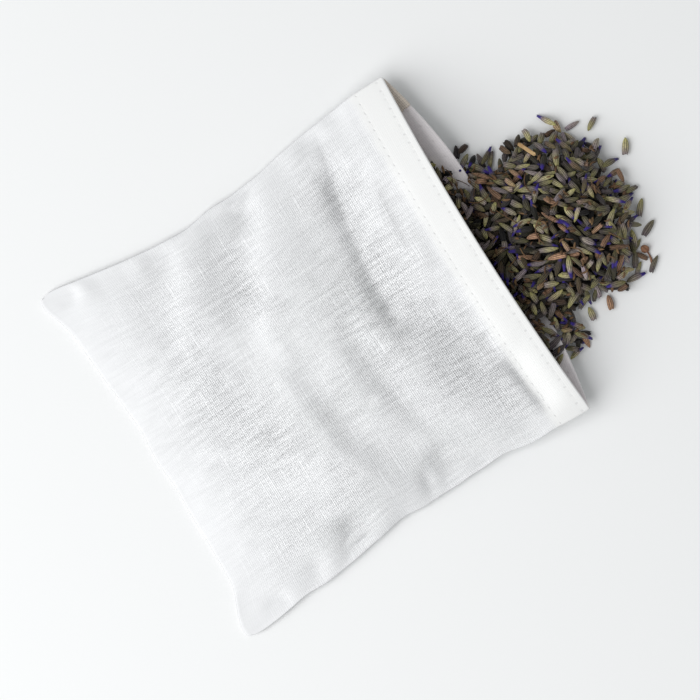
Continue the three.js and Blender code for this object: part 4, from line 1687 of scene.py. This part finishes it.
@dataclass
class Mouth:
    """Plan lines of the open mouth."""

    shape: BagShape

    def across(self, x: np.ndarray) -> np.ndarray:
        """The u of the mouth at a plan coordinate x."""
        return np.clip((x - self.shape.mouth_shift) / (self.shape.mouth_width / 2), -1, 1)

    def front_line(self, x: np.ndarray) -> np.ndarray:
        """The y of the front lip."""
        return self.shape.length / 2 + (1 - self.across(x) ** 2) * self.shape.front_lip_bow

    def back_line(self, x: np.ndarray) -> np.ndarray:
        """The y of the back lip."""
        u = self.across(x)
        return self.shape.length / 2 + (1 - u * u) * self.shape.back_bow(u)

    def beside_heap(self, x: np.ndarray) -> np.ndarray:
        """Where the back lip shows beside the heap: 1 there, 0 under the heap."""
        u = self.across(x)
        return smoothstep(-u, 0.26, 0.40) + smoothstep(u, 0.44, 0.58)

    def divide(self, x: np.ndarray) -> np.ndarray:
        """The y from which buds belong to the spill: behind the front lip, or beyond a free back lip."""
        return mix(self.front_line(x) + 1.6, self.back_line(x) + 1.1, self.beside_heap(x))

    def back_face(self, x: np.ndarray, y: np.ndarray) -> np.ndarray:
        """Height of the back cloth's upper face, as far as its lip."""
        u = self.across(x)
        v = (y - (1 - u * u) * self.shape.back_bow(u)) / self.shape.length + 0.5
        return self.shape.lift(u, np.clip(v, 0, 1)) + self.shape.hem_stack

    def back_top(self, x: np.ndarray, y: np.ndarray) -> np.ndarray:
        """Height of the back cloth's upper face at the mouth, 0 beyond its lip."""
        return np.where(y < self.back_line(x) + 0.2, self.back_face(x, y) + 0.1, 0.0)


@dataclass
class FillBuds:
    """The fill under the front cloth: a lumpy mound between the two cloths, lower towards the mouth."""

    shape: BagShape
    reach: float = 0.84
    start: float = 0.13
    slope_start: float = 0.64
    end: float = 0.755
    floor_gap: float = 0.3
    room: float = 1.4
    least: float = 0.6

    def build(self, stock: BudStock) -> None:
        """Makes and dresses the fill.

        Args:
            stock: Where its buds come from.
        """
        across = np.linspace(-self.reach, self.reach, 120)
        v, u = np.meshgrid(np.linspace(self.start, self.end, 90), across, indexing="ij")
        x, y = self.shape.plan(u, v, self.shape.front_lip_bow)
        floor = self.shape.lift(u, v) + self.shape.cloth + self.floor_gap
        top = self.shape.front(u, v)[..., 2] - self.shape.cloth - self.room
        top = mix(top, floor, 0.6 * np.abs(u / self.reach) ** 8)
        top = mix(top, floor + self.least, smoothstep(v, self.slope_start, self.end))
        upper = np.stack([x, y, np.maximum(top, floor + self.least)], -1)
        stock.packed("fill_buds", upper, floor, Body.BAG, "lavender_fill")


@dataclass
class MouthBuds:
    """The buds that lie in the mouth, under the front lip and on the back lip, and stay with the bag."""

    mouth: Mouth
    left: float = -27.5
    lip_left: float = -20.0
    right: float = 36.0
    inner_left: float = -42.0
    inner_right: float = 41.0
    start: float = 22.0
    lip_margin: float = 2.5
    fold_depth: float = 2.7
    repose: float = 40.0
    loose_depth: float = 3.2
    core_reach: Pair = (28.5, 52.5)
    core_inset: float = 4.0
    core_gap: float = 0.15
    buds: int = 1000
    petal_share: float = 0.07
    stems: int = 3
    crumbs: int = 45
    crumb_start: float = 49.0

    def side(self, x: np.ndarray, y: np.ndarray) -> np.ndarray:
        """Fall of the pile to its two ends, which lie wider apart inside the bag than at the lip.

        Args:
            x: Plan coordinate.
            y: Plan coordinate.

        Returns:
            Shares of the full height.
        """
        out = smoothstep(y, 32, 46)
        left, right = mix(self.inner_left, self.left, out), mix(self.inner_right, self.right, out)
        left = mix(left, self.lip_left, smoothstep(y, 50, 57))
        half = (right - left) / 2
        return np.maximum(0, 1 - np.abs((x - left - half) / half) ** 4) ** 0.7

    def top(self, x: np.ndarray, y: np.ndarray) -> np.ndarray:
        """Height of the buds: close under the front lip, then falling onto the back lip.

        Args:
            x: Plan coordinate.
            y: Plan coordinate.

        Returns:
            Heights shaped as x, 0 where there are no buds.
        """
        shape = self.mouth.shape
        u = self.mouth.across(x)
        v = np.clip((y - (1 - u * u) * shape.front_lip_bow) / shape.length + 0.5, 0, 1)
        under_fold = self.fold_depth * (1 - smoothstep(y, self.start + 4, self.start + 14))
        under_lip = shape.smooth_front(u, v) - shape.hem_stack - 2.6 - under_fold
        end = self.mouth.back_line(x) - mix(self.lip_margin, 0.9, self.mouth.beside_heap(x))
        floor = self.mouth.back_face(x, y)
        slope = floor + 1.3 + np.maximum(0, end - y) * math.tan(math.radians(self.repose))
        side = self.side(x, y)
        height = mix(floor + 0.4, np.minimum(under_lip, slope), side)
        inside = (y > self.start) & (y < end) & (side > 0.02)
        return np.where(inside, height, 0.0)

    def build(self, stock: BudStock, bed: SettlingBed) -> None:
        """Makes and dresses the pile.

        Args:
            stock: Where its buds come from.
            bed: What they come to rest on, which they raise.
        """
        target = self.top(bed.x, bed.y)
        bed.height = np.maximum(self.mouth.back_top(bed.x, bed.y), target - self.loose_depth)
        t, s = np.meshgrid(np.linspace(0, 1, 40), np.linspace(0, 1, 70), indexing="ij")
        x = mix(self.left + self.core_inset, self.right - self.core_inset, s)
        y = mix(*self.core_reach, t)
        height = self.top(x, y) - self.loose_depth
        floor = self.mouth.back_top(x, y) + self.core_gap
        stock.packed("mouth_bud_core", np.stack([x, y, height], -1), floor, Body.BAG)
        rows = stock.settle(bed, target, self.buds)
        stock.pile("mouth_bud_pile", rows, self.petal_share, bed, Body.BAG, "mouth_buds")
        open_part = np.where(bed.y > self.crumb_start, target, 0)
        stock.bits("mouth_crumbs", bed, open_part, Body.BAG, self.stems, self.crumbs)


@dataclass
class SpilledHeap:
    """The heap on the table and over the back lip, which slides away as one."""

    mouth: Mouth
    middle: Pair = (4.4, 69.5)
    half: Pair = (24.2, 22.2)
    height: float = 11.5
    squareness: float = 3.8
    apron_middle: Pair = (4.5, 56.0)
    apron_half: Pair = (33.0, 9.0)
    apron_height: float = 8.5
    roundness: float = 0.75
    loose_depth: float = 3.2
    ragged: Patches = Patches(0.07, 6.5, 41)
    stragglers: int = 34
    stray_gap: float = 4.4
    core_share: float = 0.68
    core_start: float = 59.0
    buds: int = 1300
    petal_share: float = 0.28
    stems: int = 16
    crumbs: int = 110
    taken: tuple[Pair, ...] = ()

    def mound(self, x: np.ndarray, y: np.ndarray, middle: Pair, half: Pair, height: float) -> np.ndarray:
        """Height of a low mound on a ragged superellipse foot, steep at its rim and round on top.

        Args:
            x: Plan coordinate.
            y: Plan coordinate.
            middle: Middle of the foot.
            half: Half its widths.
            height: Greatest height.

        Returns:
            Heights shaped as x, 0 beyond the foot.
        """
        foot = np.abs((x - middle[0]) / half[0]) ** self.squareness
        foot = foot + np.abs((y - middle[1]) / half[1]) ** self.squareness
        share = foot ** (1 / self.squareness) * (1 + self.ragged.at(x, y))
        return height * np.maximum(0, 1 - share * share) ** self.roundness

    def clear(self, x: np.ndarray, y: np.ndarray) -> np.ndarray:
        """Distance to the nearest of the places that are taken."""
        return np.min([np.hypot(x - place[0], y - place[1]) for place in self.taken], axis=0)

    def heap(self, x: np.ndarray, y: np.ndarray) -> np.ndarray:
        """Height of the heap on the table, which leaves room round the single buds."""
        room = smoothstep(self.clear(x, y), self.stray_gap - 3.4, self.stray_gap - 0.4)
        return self.mound(x, y, self.middle, self.half, self.height) * room

    def top(self, x: np.ndarray, y: np.ndarray) -> np.ndarray:
        """Height of the heap and of the apron that joins it to the mouth."""
        apron = self.mound(x, y, self.apron_middle, self.apron_half, self.apron_height)
        return np.where(y > self.mouth.divide(x), np.maximum(self.heap(x, y), apron), 0.0)

    def strays(self, stock: BudStock, bed: SettlingBed) -> np.ndarray:
        """Single buds that lie against the heap's outline.

        Args:
            stock: Where they come from.
            bed: What they come to rest on.

        Returns:
            Their rows.
        """
        angle = stock.rng.uniform(math.radians(-25), math.radians(205), self.stragglers)
        away = stock.rng.uniform(0.97, 1.06, self.stragglers)
        power = self.squareness
        reach = away / (np.abs(np.cos(angle)) ** power + np.abs(np.sin(angle)) ** power) ** (1 / power)
        x = self.middle[0] + self.half[0] * reach * np.cos(angle)
        y = self.middle[1] + self.half[1] * reach * np.sin(angle)
        clear = self.clear(x, y) > self.stray_gap
        rows = [stock.lay(bed, *place, 3.0) for place in zip(x[clear], y[clear])]
        return np.array([row for row in rows if row is not None])

    def build(self, stock: BudStock, bed: SettlingBed) -> None:
        """Makes and dresses the heap.

        Args:
            stock: Where its buds come from.
            bed: What they come to rest on, raised by the mouth's buds before.
        """
        target = self.top(bed.x, bed.y)
        core = self.heap(bed.x, bed.y) - self.loose_depth
        bed.height = np.where(bed.y > self.core_start, np.maximum(bed.height, core), bed.height)
        t, s = np.meshgrid(np.linspace(-1, 1, 60), np.linspace(-1, 1, 60), indexing="ij")
        x = self.middle[0] + s * np.sqrt(1 - t * t / 2) * self.half[0] * self.core_share
        y = self.middle[1] + t * np.sqrt(1 - s * s / 2) * self.half[1] * self.core_share
        y = np.maximum(y, self.core_start + 0.2 + 0.02 * t)
        upper = np.stack([x, y, self.heap(x, y) - self.loose_depth], -1)
        stock.packed("heap_core", upper, np.full_like(x, 0.05), Body.SPILL)
        rows = stock.settle(bed, target, self.buds)
        rows = np.concatenate([rows, self.strays(stock, bed)])
        stock.pile("heap_buds", rows, self.petal_share, bed, Body.SPILL, "spill_heap")
        stock.bits("heap_crumbs", bed, target, Body.SPILL, self.stems, self.crumbs)


@dataclass(frozen=True)
class SingleBud:
    """One bud on the table: its place, heading in degrees, size, and whether its petals show."""

    x: float
    y: float
    heading: float
    length: float
    diameter: float
    petals: bool = False


@dataclass
class LooseBuds:
    """The eight single buds round the heap, each a piece of its own."""

    calyx: CalyxShape = CalyxShape(
        sides=18,
        stations=((0.0, 0.08), (0.03, 0.22), (0.10, 0.46), (0.20, 0.68), (0.34, 0.87), (0.50, 0.97),
                  (0.66, 1.0), (0.80, 0.93), (0.90, 0.84), (0.97, 0.78), (0.96, 0.66), (0.80, 0.36),
                  (0.74, 0.05)),
        petal_stations=((0.0, 0.08), (0.03, 0.22), (0.10, 0.46), (0.20, 0.68), (0.34, 0.87), (0.50, 0.97),
                        (0.66, 1.0), (0.80, 0.90), (0.88, 0.74), (1.00, 0.60), (1.12, 0.52), (1.22, 0.30)))
    singles: tuple[SingleBud, ...] = (
        SingleBud(-13.2, 93.1, 121, 4.1, 1.5), SingleBud(-3.5, 97.6, -34, 4.6, 1.9),
        SingleBud(17.9, 91.3, -65, 5.0, 1.9), SingleBud(12.2, 92.3, -41, 4.9, 1.7),
        SingleBud(18.3, 86.5, -20, 5.0, 1.7), SingleBud(23.2, 83.9, -34, 4.6, 1.7),
        SingleBud(27.2, 81.1, 84, 4.6, 1.7, True), SingleBud(29.2, 72.3, -18, 4.1, 1.8))
    flatness: float = 0.92

    def build(self, stock: BudStock) -> None:
        """Makes and dresses each bud in its own place.

        Args:
            stock: Where the buds come from.
        """
        for number, single in enumerate(self.singles, 1):
            place = single.x, single.y, single.diameter * 0.47
            turn = math.radians(single.heading), 0.0
            buds = stock.draw(np.array([[*place, *turn, single.length, single.diameter]]))
            buds.flatness[:] = self.flatness
            buds.tone[:] = 0.35 + 0.5 * (number % 3) / 2
            surface = self.calyx.strew(buds, single.petals)
            piece = make_piece(f"single_bud_{number}", surface, stock.material)
            seat(piece, Body.SPILL, Slot.SINGLE_BUD, f"loose_bud_{number}")


@dataclass
class FlowerStub:
    """A withered brown flower: a crumpled head on a thin curled stem."""

    head: Pair = (22.2, 87.6)
    head_diameter: float = 1.9
    heading: float = -8.0
    stem_length: float = 4.6
    stem_diameter: float = 0.5
    crumple: Patches = Patches(0.16, 1.1, 51)
    finish: StemFinish = StemFinish("withered_flower", (0.36, 0.19, 0.11, 1), (0.13, 0.055, 0.035, 1))

    def crumpled(self) -> Surface:
        """The head: a ball whose radius is furrowed lengthwise and pinched at random, as dry petals are.

        Returns:
            The surface, with shares along and around it as flat coordinates.
        """
        steps, sides = 22, 30
        along = np.linspace(0, math.pi, steps)[:, None]
        around = np.linspace(0, 2 * math.pi, sides, endpoint=False)[None, :]
        furrow = 1 + 0.20 * np.sin(5 * around + 3 * along) * np.sin(along)
        furrow = furrow + self.crumple.at(np.cos(around) * 3 + 9, np.sin(around) * 3 + along * 2)
        radius = self.head_diameter / 2 * np.sin(along) * furrow
        x = self.head_diameter / 2 * np.cos(along) * 1.25 + 0 * around
        ball = np.stack([x, radius * np.cos(around), radius * np.sin(around)], -1)
        turn = math.radians(self.heading + 40)
        flat_x = ball[..., 0] * math.cos(turn) - ball[..., 1] * math.sin(turn) + self.head[0]
        flat_y = ball[..., 0] * math.sin(turn) + ball[..., 1] * math.cos(turn) + self.head[1]
        z = np.maximum(ball[..., 2] + self.head_diameter * 0.45, LEAST_HEIGHT)
        points = np.stack([flat_x, flat_y, z], -1)
        walls = ring_faces(steps, sides, clockwise=True)[:1]
        flat = np.stack(np.broadcast_arrays(along / math.pi, around / 6), -1).reshape(-1, 2)
        return Surface(points.reshape(-1, 3), walls, flat)

    def build(self) -> None:
        """Makes and dresses the head and its stem as one piece."""
        along = np.linspace(0, 1, 14)
        run = self.stem_length * along
        curl = 0.5 * np.sin(along * 3.0)
        turn = math.radians(self.heading)
        z = mix(self.head_diameter * 0.4, self.stem_diameter * 0.5, smoothstep(along, 0, 0.6))
        path = np.stack([self.head[0] + run * math.cos(turn) - curl * math.sin(turn),
                         self.head[1] + run * math.sin(turn) + curl * math.cos(turn), z], -1)
        radii = self.stem_diameter / 2 * (1 + 0.25 * np.cos(along * 9) + 0.5 * smoothstep(along, 0.85, 1))
        surface = join([self.crumpled(), tubes(path[None], radii[None], 8)])
        piece = make_piece("withered_flower", surface, self.finish.material())
        seat(piece, Body.SPILL, Slot.FLOWER, "flower_stub")


@dataclass
class StalkPiece:
    """A broken piece of tan stalk on the heap: square in section, with a groove down each face."""

    middle: Pair = (-16.5, 74.6)
    heading: float = 20.0
    length: float = 5.4
    width: float = 1.0
    finish: StemFinish = StemFinish("dry_stalk", (0.66, 0.48, 0.25, 1), (0.36, 0.22, 0.10, 1))

    def build(self, bed: SettlingBed) -> None:
        """Makes and dresses the stalk.

        Args:
            bed: The heap that it lies on.
        """
        turn = math.radians(self.heading)
        z, slope = bed.rest(*self.middle, turn, self.length, self.width / 2)
        steps, sides = 16, 24
        along = np.linspace(-0.5, 0.5, steps)[:, None]
        around = 2 * math.pi * np.arange(sides)[None, :] / sides
        square = 1 / (np.abs(np.cos(around)) ** 4 + np.abs(np.sin(around)) ** 4) ** 0.25
        groove = 1 - 0.12 * np.cos(2 * around) ** 6
        radius = self.width / 2 * square * groove * (1 + 0.05 * np.sin(along * 14))
        ends = np.where(np.arange(steps) % (steps - 1) == 0, 0.03, 1.0)[:, None]
        across, up = radius * ends * np.cos(around), radius * ends * np.sin(around)
        split = 0.22 * np.sin(3 * around) * np.abs(2 * along) ** 8
        run = self.length * along + split
        points = np.stack([self.middle[0] + run * math.cos(turn) - across * math.sin(turn),
                           self.middle[1] + run * math.sin(turn) + across * math.cos(turn),
                           z + run * slope + up], -1)
        flat = np.stack(np.broadcast_arrays(along, around / 2), -1).reshape(-1, 2)
        surface = Surface(points.reshape(-1, 3), ring_faces(steps, sides), flat)
        piece = make_piece("tan_stalk", surface, self.finish.material())
        seat(piece, Body.SPILL, Slot.STALK, "stalk_piece")


@dataclass
class Lavender:
    """The dried lavender: in the bag, in its mouth, spilled in a heap and lying singly on the table."""

    shape: BagShape
    bed_low: Pair = (-46.0, 20.0)
    bed_high: Pair = (46.0, 102.0)

    def build(self) -> None:
        """Makes and dresses every piece of lavender."""
        loose, flower = LooseBuds(), FlowerStub()
        taken = tuple((single.x, single.y) for single in loose.singles) + (flower.head,)
        stock = BudStock()
        bed = SettlingBed(self.bed_low, self.bed_high)
        mouth = Mouth(self.shape)
        FillBuds(self.shape).build(stock)
        MouthBuds(mouth).build(stock, bed)
        SpilledHeap(mouth, taken=taken).build(stock, bed)
        loose.build(stock)
        flower.build()
        StalkPiece().build(bed)


# Studio

@dataclass
class Studio:
    """White table, soft window-like light from the base side, and a camera straight above."""

    finish: FloorFinish = FloorFinish()
    image_right: Pair = (0.531, 0.847)
    middle: Pair = (3.5, 7.6)
    view_width: float = 183.2
    camera_height: float = 750.0
    focus_height: float = 6.0
    sensor: float = 36.0
    light_heading: Pair = (-0.08, -1.0)
    light_elevation: float = 44.0
    light_distance: float = 1.2
    light_size: float = 1.2
    light_share: float = 0.80
    sky: float = 0.40
    sky_colour: Colour = (0.985, 0.995, 1.0, 1)
    table_half: float = 2000.0
    table_points: int = 9
    table_drop: float = 0.05

    def build(self) -> None:
        """Makes the table, the light, the sky and the camera."""
        self.table()
        self.light()
        self.camera()
        bpy.context.scene.view_settings.view_transform = "Standard"

    def table(self) -> None:
        """The white table top, which isn't part of the object."""
        line = np.linspace(-self.table_half, self.table_half, self.table_points)
        t, s = np.meshgrid(line, line, indexing="ij")
        points = np.stack([s, t, np.full_like(s, -self.table_drop)], -1)
        faces = grid_faces(self.table_points, self.table_points)
        surface = Surface(points.reshape(-1, 3), [faces], points[..., :2].reshape(-1, 2))
        make_piece("table", surface, self.finish.material())

    def light(self) -> None:
        """A large soft light low on the base side, over an even sky."""
        elevation = math.radians(self.light_elevation)
        heading = Vector((*self.light_heading, 0)).normalized() * math.cos(elevation)
        towards = heading + Vector((0, 0, math.sin(elevation)))
        lamp = bpy.data.lights.new("window", "AREA")
        lamp.shape = "SQUARE"
        lamp.size = self.light_size
        lamp.energy = self.light_share * math.pi ** 2 * self.light_distance ** 2 / math.sin(elevation)
        holder = bpy.data.objects.new("window", lamp)
        holder.location = towards * self.light_distance
        holder.rotation_euler = towards.to_track_quat("Z", "Y").to_euler()
        bpy.context.scene.collection.objects.link(holder)
        world = bpy.data.worlds.new("sky")
        bpy.context.scene.world = world
        world.use_nodes = True
        background = world.node_tree.nodes["Background"]
        background.inputs["Color"].default_value = self.sky_colour
        background.inputs["Strength"].default_value = self.sky

    def camera(self) -> None:
        """The camera straight above, turned as the photograph is."""
        lens = bpy.data.cameras.new("camera")
        lens.sensor_width = self.sensor
        lens.lens = self.sensor * (self.camera_height - self.focus_height) / self.view_width
        lens.clip_start = 0.01
        holder = bpy.data.objects.new("camera", lens)
        right = Vector((*self.image_right, 0)).normalized()
        up = Vector((0, 0, 1)).cross(right)
        turn = Matrix((right, up, Vector((0, 0, 1)))).transposed().to_4x4()
        place = Vector((*self.middle, self.camera_height)) * MM
        holder.matrix_world = Matrix.Translation(place) @ turn
        bpy.context.scene.collection.objects.link(holder)
        bpy.context.scene.camera = holder


def main() -> None:
    """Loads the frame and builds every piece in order."""
    logging.basicConfig(level=logging.INFO, format="%(name)s: %(message)s")
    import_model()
    Studio().build()
    shape = BagShape()
    MuslinBag(shape).build()
    Lavender(shape).build()


if __name__ == "__main__":
    main()
